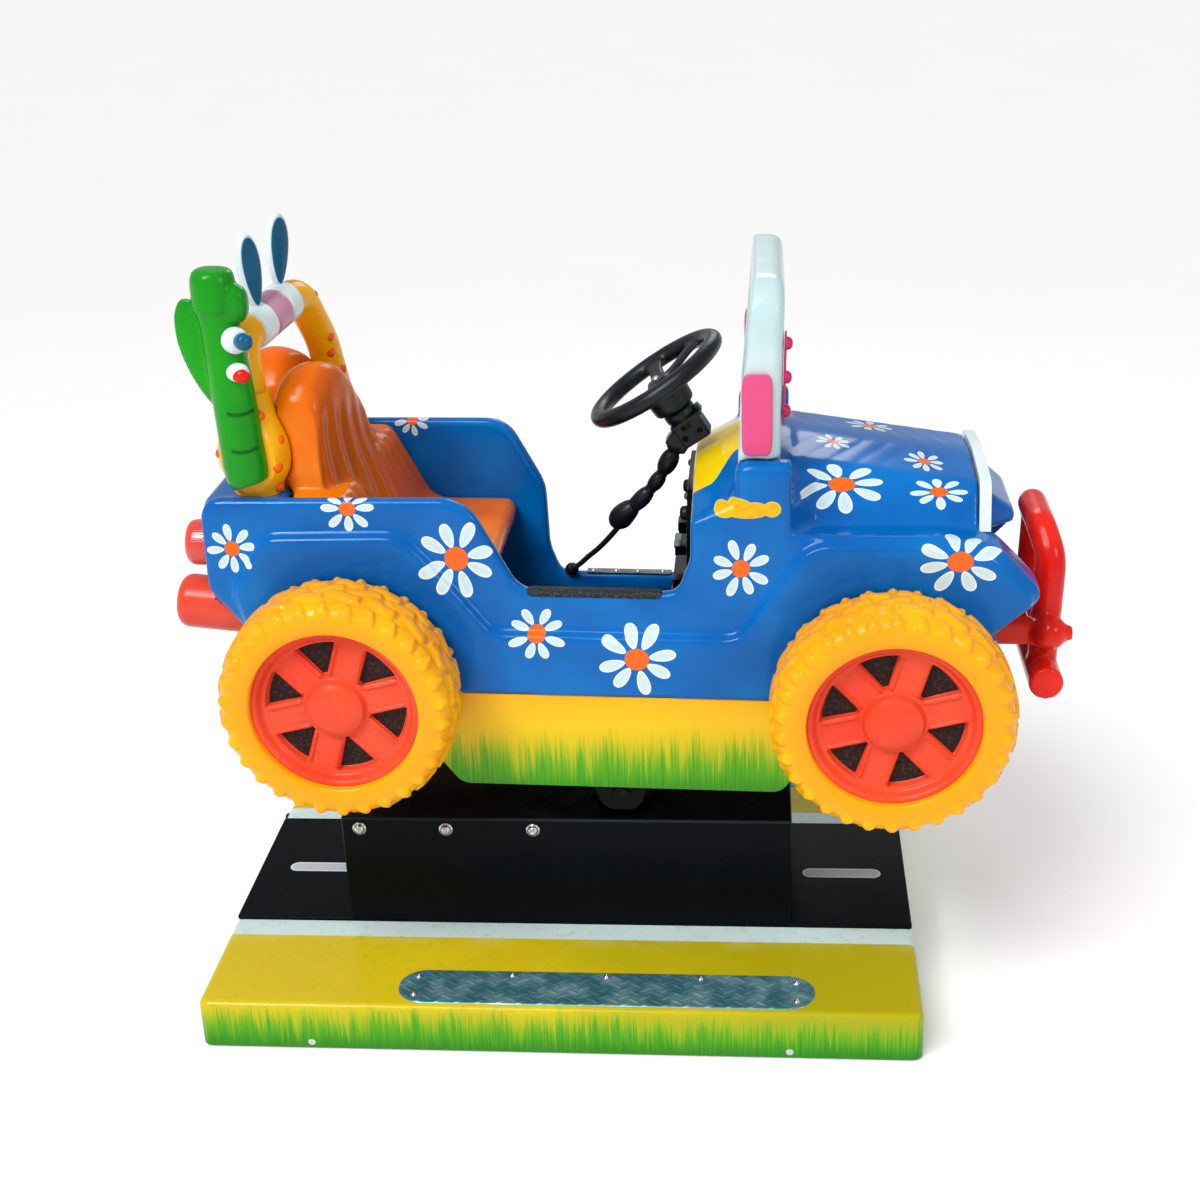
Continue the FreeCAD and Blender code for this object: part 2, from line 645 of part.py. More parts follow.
def dome_points(shoulder, peak, radius, low, inset=0):
    """Section of the cowl: upright sides, then flanks that rise to a rounded ridge."""
    half = size("sideY") - inset
    return [(-half, low, 0), (-half, shoulder - inset, radius), (0, peak - inset, size("ridgeRound")),
            (half, shoulder - inset, radius), (half, low, 0)]


def front_section(x, low, inset=0):
    return section(x, dome_points(size("cowlShoulder"), size("cowlPeak"), 45 - inset, low, inset))


def cowl_rise(back, low, drop=0, inset=0):
    """Part of the cowl whose ridge climbs from the dash, lowered by drop."""
    rear = dome_points(size("dashShoulder") - drop, size("dashPeak") - drop, 12 - inset / 2, low, inset)
    front = dome_points(size("cowlShoulder") - drop, size("cowlPeak") - drop, 45 - inset, low, inset)
    return Part.makeLoft([section(back, rear), section(size("cowlRise"), front)], True, True)


def cowl_solid(low):
    """Whole cowl, with a boss under each windshield post."""
    front = size("cowlFront")
    straight = Part.Face(front_section(size("cowlRise"), low)).extrude(
        Vector(front - size("cowlRise"), 0, 0))
    back, wide = size("bossBack"), size("bossWide")
    bosses = []
    for start_y in (-size("sideY"), size("sideY") - wide):
        boss = Part.makeBox(size("bossLong"), wide, size("bossTop") - low, Vector(back, start_y, low))
        upper = [e for e in boss.Edges if e.BoundBox.XMin < back + 1 and e.BoundBox.ZMax > low + 1]
        bosses.append(boss.makeFillet(size("bossEdge"), upper))
    return cowl_rise(size("cowlBack"), low).multiFuse([straight] + bosses)


def make_cowl():
    back, rise, front, low = (size(a) for a in ("cowlBack", "cowlRise", "cowlFront", "cowlLow"))
    inner, skin, thick = size("sideY") - size("wall"), size("cowlSkin"), size("capThick")
    whole = cowl_solid(low)
    hollow = cowl_rise(back + skin, low - 20, thick + skin, skin).fuse(
        Part.Face(front_section(rise, low - 20, skin + 2)).extrude(Vector(front - skin - rise, 0, 0)))
    layer = Part.makeBox(rise - back, 2 * size("capHalf"), 300, Vector(back, -size("capHalf"), low))
    cap = layer.common(cowl_rise(back, low)).cut(cowl_rise(back, low - 20, thick))
    bulkhead = Part.makeBox(skin, 2 * inner, low - size("floorZ"), Vector(back, -inner, size("floorZ")))
    cowl = whole.cut(hollow).cut(cap).multiFuse([bulkhead, hood_blend()])
    register(feature("Cowl", largest(cowl.removeSplitter())), "cowl", car_place)
    register(feature("DashCap", cap), "dash_cap", car_place)


def hood_points(low, half_low, shoulder, half_top, crown, inset=0):
    radius = max(6, 30 - inset)
    return [(-half_low + inset, low, 0), (-half_top + inset, shoulder - inset, radius),
            (0, crown - inset, 400), (half_top - inset, shoulder - inset, radius),
            (half_low - inset, low, 0)]


def hood_solid(inset=0, reach=0):
    """Hood between the cowl and the nose, its lower edges inside the fender tops."""
    back, front = size("cowlFront"), size("noseX")
    return Part.makeLoft([section(back - reach, hood_points(838, 177, 942, 136, 955, inset)),
                          section(front + reach, hood_points(830, 170, 904, 132, 916, inset))],
                         True, True)


def hood_blend():
    """Slope that leads from the cowl's wider section down to the hood."""
    back, low = size("cowlFront"), size("fenderZ") - 7
    blend = Part.makeLoft([front_section(back, low, 4),
                           section(back + size("blendLong"), hood_points(low, 172, 936, 133, 948))],
                          True, True)
    return blend.cut(hood_solid()).cut(level_shape("body_side_right")).cut(level_shape("body_side_left"))


def make_hood():
    shell = hood_solid().cut(hood_solid(7, 1))
    shell = shell.cut(level_shape("body_side_right")).cut(level_shape("body_side_left"))
    register(feature("Hood", largest(shell)), "hood", car_place)


def make_nose():
    front = size("noseX")
    outer = section(front, [(-148, 700, 10), (-148, 838, 0), (-170, 838, 0), (-137, 910, 32),
                            (0, 922, 400), (137, 910, 32), (170, 838, 0), (148, 838, 0),
                            (148, 700, 10)])
    inner = section(front, [(-124, 722, 8), (-124, 840, 10), (-116, 886, 24), (0, 896, 400),
                            (116, 886, 24), (124, 840, 10), (124, 722, 8)])
    band = Part.Face(outer).extrude(Vector(18, 0, 0)).cut(
        Part.Face(inner).extrude(Vector(18, 0, 0)))
    band = band.cut(level_shape("body_side_right")).cut(level_shape("body_side_left"))
    register(feature("GrilleFrame", largest(band)), "grille_frame", car_place)
    panel = Part.Face(inner).extrude(Vector(10, 0, 0))
    bulge = Part.makeLoft([section(front + 10, [(-112, 812, 20), (-112, 884, 20), (112, 884, 20),
                                                (112, 812, 20)]),
                           section(front + 66, [(-84, 822, 8), (-84, 842, 8), (84, 842, 8),
                                                (84, 822, 8)])], True, True)
    half, thick, low = size("sideY") - size("wall"), size("apronThick"), size("apronLow")
    apron = Part.makeBox(thick, 2 * half, 822 - low, Vector(front - thick, -half, low))
    register(feature("NosePanel", panel.multiFuse([bulge, apron])), "nose_panel", car_place)
    lamps = []
    for side in (-1, 1):
        lamp = Part.makeCylinder(36, 18, Vector(front + 10, side * 78, 766), Vector(1, 0, 0))
        lens = Part.makeSphere(60, Vector(front - 20, side * 78, 766))
        lens = lens.common(Part.makeCylinder(30, 60, Vector(front + 20, side * 78, 766), Vector(1, 0, 0)))
        lamps.append(lamp.fuse(lens))
    register(feature("Headlamps", Part.makeCompound(lamps)), "headlamps", car_place)


def make_floor():
    inner = "(Sizes.sideY - Sizes.wall)"
    item = bar("FloorPan", "-165", "Sizes.cowlBack", f"-{inner}", inner, "Sizes.floorZ",
               "Sizes.floorZ + Sizes.floorThick")
    register(group("FloorGroup", [item]), "floor_pan", car_place)


def make_entry_plate():
    body = new_body("EntryPlate")
    mid = size("sideY") - size("wall") / 2
    pad(body, "EntryPad", "XY", size("sillLeft"), rectangle(12, mid - 10, 168, mid + 10, 4), "2")
    register(body, "entry_plate", car_place)


# ---------------------------------------------------------------- windshield

def make_windshield():
    body = new_body("WindshieldFrame")
    half, top, back, front = (size(a) for a in ("postY", "postTop", "postBack", "postFront"))
    lean = size("postLean")
    outer = flat([(-half, 915, 0), (half, 915, 0), (half, top, 62), (-half, top, 62)])
    pad(body, "FramePad", "YZ", back, rounded_edges(outer), "Sizes.postFront - Sizes.postBack")
    opening = flat([(-148, 1000, 30), (148, 1000, 30), (148, 1184, 34), (-148, 1184, 34)])
    pocket(body, "FrameOpening", "YZ", back, rounded_edges(opening),
           "Sizes.postFront - Sizes.postBack", True)
    wedge = flat([(back - 1, 915, 0), (back, 970, 200), (back + lean, top, 0), (back + lean, top + 2, 0),
                  (back - 1, top + 2, 0)])
    pocket(body, "FrameTaper", "XZ", half + 1, rounded_edges(wedge), "2 * Sizes.postY + 2")
    fillet(body, "FrameEdgeFront", 20, on_plane("X", front))
    cowl = feature("CowlForm", cowl_solid(size("cowlLow")))
    register(cut("Windshield", body, cowl), "windshield_frame", car_place)
    pieces = []
    for face in (half, -half - 12):
        block = Part.makeBox(46, 12, 128, Vector(293, face, 972))
        pieces.append(block.makeFillet(5, block.Edges))
    strip_y = -182
    strip = Part.makeBox(5, 26, 150, Vector(front, strip_y - 13, 1010))
    knobs = [Part.makeCylinder(12, 8, Vector(front + 5, strip_y, z), Vector(1, 0, 0))
             for z in (1036, 1089, 1142)]
    knobs = [knob.makeFillet(5, [e for e in knob.Edges if on_plane("X", front + 13)(e)]) for knob in knobs]
    pieces.append(strip.multiFuse(knobs))
    register(feature("WindshieldTrim", Part.makeCompound(pieces)), "windshield_trim", car_place)


# ---------------------------------------------------------------- cockpit

def make_coin_unit():
    back = size("cowlBack")
    panel = Part.makeBox(10, 200, 170, Vector(back - 10, -100, 705))
    panel = panel.makeFillet(3, [e for e in panel.Edges if on_plane("X", back - 10)(e)])
    slot = Part.makeBox(16, 44, 20, Vector(back - 26, -22, 768))
    cup = Part.makeBox(22, 60, 16, Vector(back - 32, -30, 732))
    safe = Part.makeBox(34, 120, 135, Vector(back - 34, -60, 565))
    unit = panel.multiFuse([slot, cup])
    register(feature("CoinUnit", Part.makeCompound([unit, safe])), "coin_unit", car_place)


# seat back: closed curves of (x, z) points, one at each place across the seat
right_hump = [
    (-168, [(-424, 880), (-446, 960), (-430, 1020), (-392, 1022), (-374, 960), (-370, 890), (-366, 765)]),
    (-140, [(-424, 872), (-455, 990), (-430, 1058), (-384, 1060), (-366, 980), (-358, 890), (-350, 765)]),
    (-95, [(-424, 870), (-455, 1000), (-424, 1073), (-372, 1075), (-350, 985), (-335, 890), (-318, 765)]),
    (-45, [(-424, 870), (-450, 990), (-416, 1050), (-362, 1050), (-335, 960), (-312, 880), (-290, 765)]),
    (-4, [(-424, 870), (-440, 960), (-404, 1000), (-352, 995), (-322, 930), (-298, 860), (-276, 765)])]
left_hump = [
    (4, [(-424, 872), (-500, 900), (-508, 1000), (-462, 1000), (-400, 930), (-330, 850), (-300, 785)]),
    (40, [(-424, 872), (-518, 905), (-524, 1040), (-466, 1036), (-396, 950), (-325, 855), (-292, 785)]),
    (80, [(-424, 872), (-520, 905), (-528, 1052), (-470, 1048), (-394, 955), (-322, 857), (-290, 785)]),
    (120, [(-424, 872), (-518, 905), (-522, 1036), (-466, 1032), (-394, 950), (-322, 855), (-290, 785)]),
    (150, [(-424, 872), (-500, 900), (-506, 990), (-460, 990), (-398, 925), (-328, 850), (-298, 785)])]


def hump_solid(stations):
    """Smooth solid through closed curves across the seat, one at each station (y, spots)."""
    wires = []
    for place, spots in stations:
        curve = Part.BSplineCurve()
        curve.interpolate(Points=[Vector(x, place, z) for x, z in spots], PeriodicFlag=True)
        wires.append(Part.Wire([curve.toShape()]))
    return Part.makeLoft(wires, True, False)


def make_seat():
    inner = size("sideY") - size("wall")
    floor = size("floorZ") + size("floorThick")
    beam_top = size("hubZ") + size("axleSide") / 2
    deck_top = size("rimZ") - 6
    body = new_body("Cushion")
    cushion = [(-424, beam_top, 0), (-424, deck_top, 10), (-330, deck_top, 30), (-262, 749, 40),
               (-112, 749, 18), (-116, 704, 14), (-150, 700, 20), (-164, floor, 0), (-200, floor, 0),
               (-200, beam_top, 12)]
    pad(body, "CushionPad", "XZ", 4 - inner, rounded_edges(flat(cushion)),
        "2 * (Sizes.sideY - Sizes.wall) - 8")
    whole = body.Shape.multiFuse([hump_solid(right_hump), hump_solid(left_hump)])
    below_deck = Part.makeBox(400, 2 * inner, 300, Vector(-824, -inner, deck_top - 300))
    whole = whole.cut(hoop_solid(1)).cut(below_deck)
    register(feature("Seat", largest(whole)), "seat", car_place)


# ---------------------------------------------------------------- figures over the back

hoop_route = [(Vector(-486, -150, 1010), 0), (Vector(-503, -124, 1124), 50),
              (Vector(-452, 58, 1158), 50), (Vector(-430, 114, 1062), 150),
              (Vector(-416, 138, 960), 150), (Vector(-414, 152, 880), 0)]
trunk_foot, trunk_top = Vector(-481, -162, 880), Vector(-488, -152, 1048)
trunk_profile = [(0, 41), (18, 43), (36, 53), (60, 59), (85, 58), (118, 48), (150, 36), (166, 30)]


def hoop_solid(slack=0):
    """Bent bar from the far foot to the near one, which swells into a trunk."""
    hoop = tube(hoop_route, 28 + slack)
    lean = trunk_top - trunk_foot
    curve = Part.BSplineCurve()
    curve.interpolate([Vector(radius + slack, 0, height) for height, radius in trunk_profile])
    low, high = trunk_profile[0][0], trunk_profile[-1][0]
    spots = [Vector(curve.EndPoint), Vector(0, 0, high), Vector(0, 0, low), Vector(curve.StartPoint)]
    sides = [Part.makeLine(a, b) for a, b in zip(spots, spots[1:])]
    trunk = Part.Face(Part.Wire([curve.toShape()] + sides)).revolve(Vector(), Vector(0, 0, 1), 360)
    trunk.Placement = Placement(trunk_foot, Rotation(Vector(0, 0, 1), lean))
    lead = hoop_route[-2][0] - hoop_route[-1][0]
    foot = Part.makeCone(42 + slack, 27 + slack, 70, hoop_route[-1][0], lead)
    inner = size("sideY") - size("wall") - 0.5
    room = Part.makeBox(400, 2 * inner, 600, Vector(-700, -inner, size("rimZ") - 6))
    return largest(hoop.multiFuse([trunk, foot]).common(room))


def make_hoop():
    hoop = hoop_solid()
    register(feature("RollHoop", hoop), "roll_hoop", car_place)
    near, far = hoop_route[1][0], hoop_route[2][0]
    along = (far - near).normalize()
    start = near + along * 32
    length, bar, sleeve = 122, 28, 35
    tube_wall = Part.makeCylinder(sleeve, length, start, along).cut(
        Part.makeCylinder(bar, length, start, along))
    ears = []
    for reach, lean in ((16, -5), (106, 3)):
        foot = start + along * reach + Vector(0, 0, sleeve - 4)
        ears.append(ear_shape(foot, lean))
    whole = tube_wall.multiFuse([ear.cut(hoop) for ear in ears])
    register(feature("HoopCollar", whole), "hoop_collar", car_place)


def ear_shape(foot, lean):
    """Long flattened ear that stands on the collar and faces forward and outward."""
    ear = Part.makeSphere(1)
    matrix = FreeCAD.Matrix()
    matrix.scale(27, 12, 63)
    ear = ear.transformGeometry(matrix)
    ear.rotate(Vector(), Vector(0, 0, 1), -35)
    ear.rotate(Vector(), Vector(0, 1, 0), lean)
    ear.translate(foot + Vector(0, 0, 58))
    return ear


def make_post_figure():
    foot, top = Vector(-493, -200, 908), Vector(-520, -196, 1214)
    lean = top - foot
    stalk = Part.makeCone(35, 30, lean.Length, foot, lean)
    stalk = stalk.makeFillet(8, [e for e in stalk.Edges if abs(e.BoundBox.ZMax - foot.z) < 8])
    crown = Part.makeCone(36, 30, 62, top - lean.normalize() * 22, lean)
    crown = crown.makeFillet(7, [e for e in crown.Edges if e.BoundBox.ZMin > top.z + 20])
    fin = Part.makeSphere(1)
    matrix = FreeCAD.Matrix()
    matrix.scale(24, 8, 84)
    fin = fin.transformGeometry(matrix)
    fin.rotate(Vector(), Vector(0, 1, 0), -14)
    fin.translate(Vector(-557, -196, 1110))
    snout = Part.makeSphere(19, Vector(-488, -204, 1182))
    figure = stalk.multiFuse([crown, fin, snout]).cut(hoop_solid())
    register(feature("PostFigure", largest(figure)), "post_figure", car_place)
    eye = Part.makeSphere(17, Vector(-489, -222, 1146)).cut(figure)
    mouth = Part.makeSphere(14, Vector(-486, -222, 1095)).cut(figure)
    register(feature("FigureFace", Part.makeCompound([largest(eye), largest(mouth)])),
             "figure_face", car_place)


def largest(shape):
    return max(shape.Solids, key=lambda solid: solid.Volume)


# ---------------------------------------------------------------- ends of the car

def make_tail():
    tail = size("tailX")
    lamps = []
    for side in (-1, 1):
        lamp = Part.makeCylinder(38, 48, Vector(tail, side * 152, 788), Vector(-1, 0, 0))
        lamps.append(lamp.makeFillet(9, [e for e in lamp.Edges if on_plane("X", tail - 48)(e)]))
    register(feature("TailLamps", Part.makeCompound(lamps)), "tail_lamps", car_place)
    pipes = []
    for side in (-1, 1):
        pipe = Part.makeCylinder(45, 140, Vector(-636, side * 150, 684), Vector(1, 0, -0.09))
        pipe = pipe.makeFillet(20, [e for e in pipe.Edges if e.BoundBox.XMax < -620])
        stub = Part.makeCylinder(16, 60, Vector(-540, side * 150, 690), Vector(0, 0, 1))
        pipe = pipe.fuse(stub)
        pipes.append(pipe.cut(Part.makeBox(300, 500, 100, Vector(tail, -250, 700))))
    register(feature("Exhausts", Part.makeCompound(pipes)), "exhausts", car_place)


def make_bull_bar():
    """Hoop over two cross bars, carried by arms from the apron."""
    low, mid, out = 572, 648, 126
    hoop = tube([(Vector(795, -98, low), 0), (Vector(797, -97, 768), 60),
                 (Vector(782, -58, 808), 30), (Vector(782, 58, 808), 30),
                 (Vector(797, 97, 768), 60), (Vector(795, 98, low), 0)], 24)
    lower = Part.makeCylinder(28, 330, Vector(795, -165, low), Vector(0, 1, 0))
    upper = Part.makeCylinder(25, 2 * out - 12, Vector(797, 6 - out, mid), Vector(0, 1, 0))
    balls = [Part.makeSphere(30, Vector(797, side * out, mid), Vector(0, side, 0), -60, 90, 360)
             for side in (-1, 1)]
    nubs = [Part.makeCylinder(13, 18, Vector(817, side * out, mid), Vector(1, 0, 0))
            for side in (-1, 1)]
    reach = 798 - size("noseX")
    arms = [Part.makeBox(reach, 32, 42, Vector(size("noseX"), side * 118 - 16, mid - 22))
            for side in (-1, 1)]
    whole = hoop.multiFuse([lower, upper] + balls + nubs + arms)
    register(feature("BullBar", whole), "bull_bar", car_place)


# ---------------------------------------------------------------- steering

def steering_axis():
    tilt = math.radians(size("wheelTilt"))
    return Vector(-math.sin(tilt), 0, math.cos(tilt))


def make_steering():
    middle, up = Vector(size("wheelMidX"), 0, size("wheelMidZ")), steering_axis()
    across, forward = Vector(0, 1, 0), Vector(up.z, 0, -up.x)
    ring = Part.makeTorus(size("gripRing"), size("gripTube"), middle, up)
    hub_foot = middle - up * 42
    parts = [Part.makeCylinder(27, 32, middle - up * 30, up),
             Part.makeCylinder(36, 18, hub_foot, up),
             Part.makeCylinder(9, 60, hub_foot - up * 60, up)]
    for angle in (90, 210, 330):
        turn = math.radians(angle)
        direction = across * math.cos(turn) + forward * math.sin(turn)
        spoke = tube([(middle - up * 14, 0), (middle + direction * (size("gripRing") - 2), 0)], 8)
        parts.append(spoke)
    register(feature("SteeringWheel", ring.multiFuse(parts)), "steering_wheel", car_place)
    column_top = hub_foot - up * 5
    sleeve = Part.makeCylinder(30, 104, column_top - up * 104, up)
    collar = Part.makeCylinder(33, 14, column_top - up * 16, up)
    bracket = Part.makeBox(34, 30, 40, Vector(166, -15, 900))
    whole = sleeve.multiFuse([collar, bracket])
    whole = whole.cut(Part.makeCylinder(9.05, 70, column_top - up * 68, up))
    whole = whole.cut(cowl_solid(size("cowlLow") - 20))
    register(feature("SteeringColumn", largest(whole)), "steering_column", car_place)


loom_beads = [(Vector(174, 0, 898), 12), (Vector(160, 3, 872), 15), (Vector(144, 8, 845), 14),
              (Vector(130, 13, 820), 14), (Vector(113, 20, 798), 13), (Vector(96, 27, 778), 20)]
cord_route = [Vector(84.8, 36.5, 756.9), Vector(68, 50, 732), Vector(45, 82, 697),
              Vector(22, 122, 665), Vector(4, 156, 636), Vector(-10, 187, 616)]
cord_radius = 5


def cord_points(route):
    """Route points with the largest arc that the two runs beside each one allow."""
    points = [(route[0], 0)]
    for before, here, after in zip(route, route[1:], route[2:]):
        turn = (here - before).getAngle(after - here)
        shorter = min((here - before).Length, (after - here).Length)
        radius = 0.45 * shorter / math.tan(turn / 2)
        print(f"cord turn {math.degrees(turn):5.1f} deg, radius {radius:6.0f} mm")
        points.append((here, radius))
    return points + [(route[-1], 0)]


def make_cable():
    """Beaded loom below the steering bracket, the cord from its end and the cord's gland."""
    pieces = []
    for (spot, radius), (following, _) in zip(loom_beads, loom_beads[1:]):
        span = (following - spot).normalize()
        reach = following.distanceToPoint(spot) - 6
        pieces.append(Part.makeCylinder(7, reach, spot + span * 3, span))
        pieces.append(Part.makeSphere(radius, spot, span, -65, 65, 360))
    bulb, radius = loom_beads[-1]
    start = cord_route[0]
    neck = (start - bulb).normalize()
    pieces.append(Part.makeSphere(radius, bulb, neck, -75, 75, 360))
    pieces.append(Part.makeCylinder(8, start.distanceToPoint(bulb) - 3, bulb + neck * 3, neck))
    loom = pieces[0].multiFuse(pieces[1:])
    loom = largest(loom.cut(level_shape("steering_column")))
    cord = tube(cord_points(cord_route), cord_radius)
    path = Part.Wire([curve.toShape() for curve in rounded_edges(cord_points(cord_route), False)])
    wanted = math.pi * cord_radius ** 2 * path.Length
    print(f"cord length {path.Length:.0f} mm, volume {cord.Volume:.0f}, section times length {wanted:.0f}")
    if abs(cord.Volume - wanted) > 0.01 * wanted:
        raise RuntimeError("the cord's volume is off")
    register(feature("CableCord", cord), "cable_cord", car_place)
    end = cord_route[-1]
    lead = end - cord_route[-2]
    lead.normalize()
    gland = Part.makeCylinder(9, 30, end, lead).fuse(Part.makeCylinder(12, 22, end + lead * 10, lead))
    below = Part.makeBox(120, 100, 60, Vector(-70, 150, size("sillLeft") - 60))
    gland = largest(gland.cut(below).cut(level_shape("body_side_left")))
    fittings = Part.makeCompound([loom, gland])
    register(feature("CableFittings", fittings), "cable_fittings", car_place)


def make_all():
    make_base_deck()
    make_mains_gland()
    make_base_frame()
    make_road_strip()
    make_step_plates()
    make_drive_cover()
    make_gearmotor()
    make_pivot_stand()
    make_rocker_frame()
    make_axles()
    make_wheels()
    make_body_sides()
    make_rear_deck()
    make_skirts()
    make_cowl()
    make_hood()
    make_nose()
    make_floor()
    make_entry_plate()
    make_windshield()
    make_coin_unit()
    make_seat()
    make_hoop()
    make_post_figure()
    make_tail()
    make_bull_bar()
    make_steering()
    make_cable()


def write_nodes():
    doc.recompute()
    for item in doc.Objects:
        if "Invalid" in item.State or "Error" in item.State:
            raise RuntimeError(f"{item.Label} did not recompute: {item.State}")
    os.makedirs("parts", exist_ok=True)
    for label, item in nodes.items():
        shape = item.Shape
        if shape.isNull() or not shape.isValid():
            raise RuntimeError(f"{label} has no valid shape")
        print(f"{label:20s} solids {len(shape.Solids)} volume {shape.Volume / 1e6:8.3f} l")
        shape.exportStep(os.path.join("parts", f"{label}.step"))


make_all()
write_nodes()
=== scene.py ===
import json
import math

import bmesh
import bpy
import numpy as np
from mathutils import Matrix, Vector

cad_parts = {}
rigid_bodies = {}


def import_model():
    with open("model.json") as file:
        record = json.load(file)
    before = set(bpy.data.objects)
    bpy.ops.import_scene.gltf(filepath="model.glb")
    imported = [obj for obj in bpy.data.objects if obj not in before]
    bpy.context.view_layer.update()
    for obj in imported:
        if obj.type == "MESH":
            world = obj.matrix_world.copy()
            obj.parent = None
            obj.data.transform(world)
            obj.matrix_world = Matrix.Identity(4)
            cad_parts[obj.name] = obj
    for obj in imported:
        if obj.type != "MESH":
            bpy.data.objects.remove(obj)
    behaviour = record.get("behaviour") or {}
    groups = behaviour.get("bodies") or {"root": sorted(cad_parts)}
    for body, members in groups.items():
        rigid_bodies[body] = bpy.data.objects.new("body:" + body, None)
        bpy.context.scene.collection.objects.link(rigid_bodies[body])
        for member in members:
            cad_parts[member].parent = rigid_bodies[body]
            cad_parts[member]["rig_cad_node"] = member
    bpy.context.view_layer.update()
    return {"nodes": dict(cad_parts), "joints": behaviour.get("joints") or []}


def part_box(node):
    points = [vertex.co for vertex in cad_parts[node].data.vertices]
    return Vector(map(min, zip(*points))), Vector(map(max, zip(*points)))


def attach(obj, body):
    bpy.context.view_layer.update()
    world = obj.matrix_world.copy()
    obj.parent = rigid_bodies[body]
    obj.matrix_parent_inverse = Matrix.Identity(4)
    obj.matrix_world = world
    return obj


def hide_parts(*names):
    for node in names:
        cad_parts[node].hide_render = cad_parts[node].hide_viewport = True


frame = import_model()
print("frame loaded", len(frame["nodes"]), "nodes")

rock = [j for j in frame["joints"] if j["name"] == "rock"][0]
pivot = np.array(rock["pos_m"], float)
pitch = math.radians(1.45)  # the car stands nose down by this much
fullTurn = 2 * math.pi


# places and small mesh helpers

def toRow(points):
    # level car millimetres to the row frame: turn by the pitch about the pivot
    p = np.asarray(points, float) / 1000
    c, s = math.cos(pitch), math.sin(pitch)
    x, z = p[..., 0] - pivot[0], p[..., 2] - pivot[2]
    return np.stack([pivot[0] + c * x + s * z, p[..., 1], pivot[2] - s * x + c * z], -1)


def smoothStep(low, high, x):
    # 0 below low, 1 above high, 3t^2 - 2t^3 between
    t = np.clip((x - low) / (high - low), 0, 1)
    return t * t * (3 - 2 * t)


def roundTurn(count):
    # angles once round, without the last that equals the first
    return np.linspace(0, fullTurn, count, endpoint=False)


def gridFaces(nu, nv, wrapU=False, wrapV=False):
    # quads of an nu by nv grid, closed round either way
    u = np.arange(nu if wrapU else nu - 1)[:, None]
    v = np.arange(nv if wrapV else nv - 1)[None, :]
    u2, v2 = (u + 1) % nu, (v + 1) % nv
    return np.stack([u * nv + v, u2 * nv + v, u2 * nv + v2, u * nv + v2], -1).reshape(-1, 4)


def addObject(name, data):
    made = bpy.data.objects.new(name, data)
    bpy.context.scene.collection.objects.link(made)
    return made


def meshPiece(name, points, faces):
    # points and faces as a smooth mesh, its place kept in the mesh
    mesh = bpy.data.meshes.new(name)
    mesh.from_pydata(points.reshape(-1, 3).tolist(), [], [list(f) for f in faces])
    mesh.update()
    mesh.polygons.foreach_set("use_smooth", [True] * len(mesh.polygons))
    return addObject(name, mesh)


def gridPiece(name, points, wrapU=False, wrapV=False, capU=False):
    # a grid of points as one surface; capU closes the first and last row with a face each
    nu, nv = points.shape[:2]
    faces = gridFaces(nu, nv, wrapU, wrapV).tolist()
    if capU:
        faces.append(list(range(nv - 1, -1, -1)))
        faces.append(list(range((nu - 1) * nv, nu * nv)))
    return meshPiece(name, points, faces)


def joined(name, parts):
    # mesh objects already in their place, and closed shapes given as kind and numbers, as one
    points, faces, start = [], [], 0
    for part in parts:
        piece = solid(*part) if isinstance(part, tuple) else part
        mesh = piece.data
        co = np.empty(len(mesh.vertices) * 3)
        mesh.vertices.foreach_get("co", co)
        points.append(co.reshape(-1, 3))
        faces += [[start + i for i in p.vertices] for p in mesh.polygons]
        start += len(mesh.vertices)
        if "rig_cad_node" not in piece:
            bpy.data.objects.remove(piece)
    return meshPiece(name, np.concatenate(points), faces)


def outward(piece, gap=1e-6):
    # welds doubles and turns every face outwards
    work = bmesh.new()
    work.from_mesh(piece.data)
    bmesh.ops.remove_doubles(work, verts=work.verts, dist=gap)
    bmesh.ops.recalc_face_normals(work, faces=work.faces)
    work.to_mesh(piece.data)
    work.free()
    return piece


def faceUp(piece, face):
    # an open sheet whose given face looks down is turned over
    if piece.data.polygons[face].normal.z < 0:
        piece.data.flip_normals()


def melted(name, parts, voxel, rounds):
    # closed shapes run together into one moulding with soft edges
    piece = outward(joined(name, parts), 1e-5)
    remesh = piece.modifiers.new("remesh", "REMESH")
    remesh.mode = "VOXEL"
    remesh.voxel_size = voxel
    remesh.use_smooth_shade = True
    smooth = piece.modifiers.new("smooth", "SMOOTH")
    smooth.factor = 0.5
    smooth.iterations = rounds
    graph = bpy.context.evaluated_depsgraph_get()
    mesh = bpy.data.meshes.new_from_object(piece.evaluated_get(graph))
    piece.modifiers.clear()
    piece.data = mesh
    mesh.polygons.foreach_set("use_smooth", [True] * len(mesh.polygons))
    return piece


def pathPoints(points, count):
    # Catmull-Rom curve through the points, count samples evenly in its parameter
    p = np.asarray(points, float)
    p = np.concatenate([[2 * p[0] - p[1]], p, [2 * p[-1] - p[-2]]])
    t = np.linspace(0, len(p) - 3 - 1e-9, count)
    i = t.astype(int)
    f = (t - i)[:, None]
    a, b, c, d = p[i], p[i + 1], p[i + 2], p[i + 3]
    return 0.5 * (2 * b + (c - a) * f + (2 * a - 5 * b + 4 * c - d) * f ** 2
                  + (3 * b - a - 3 * c + d) * f ** 3)


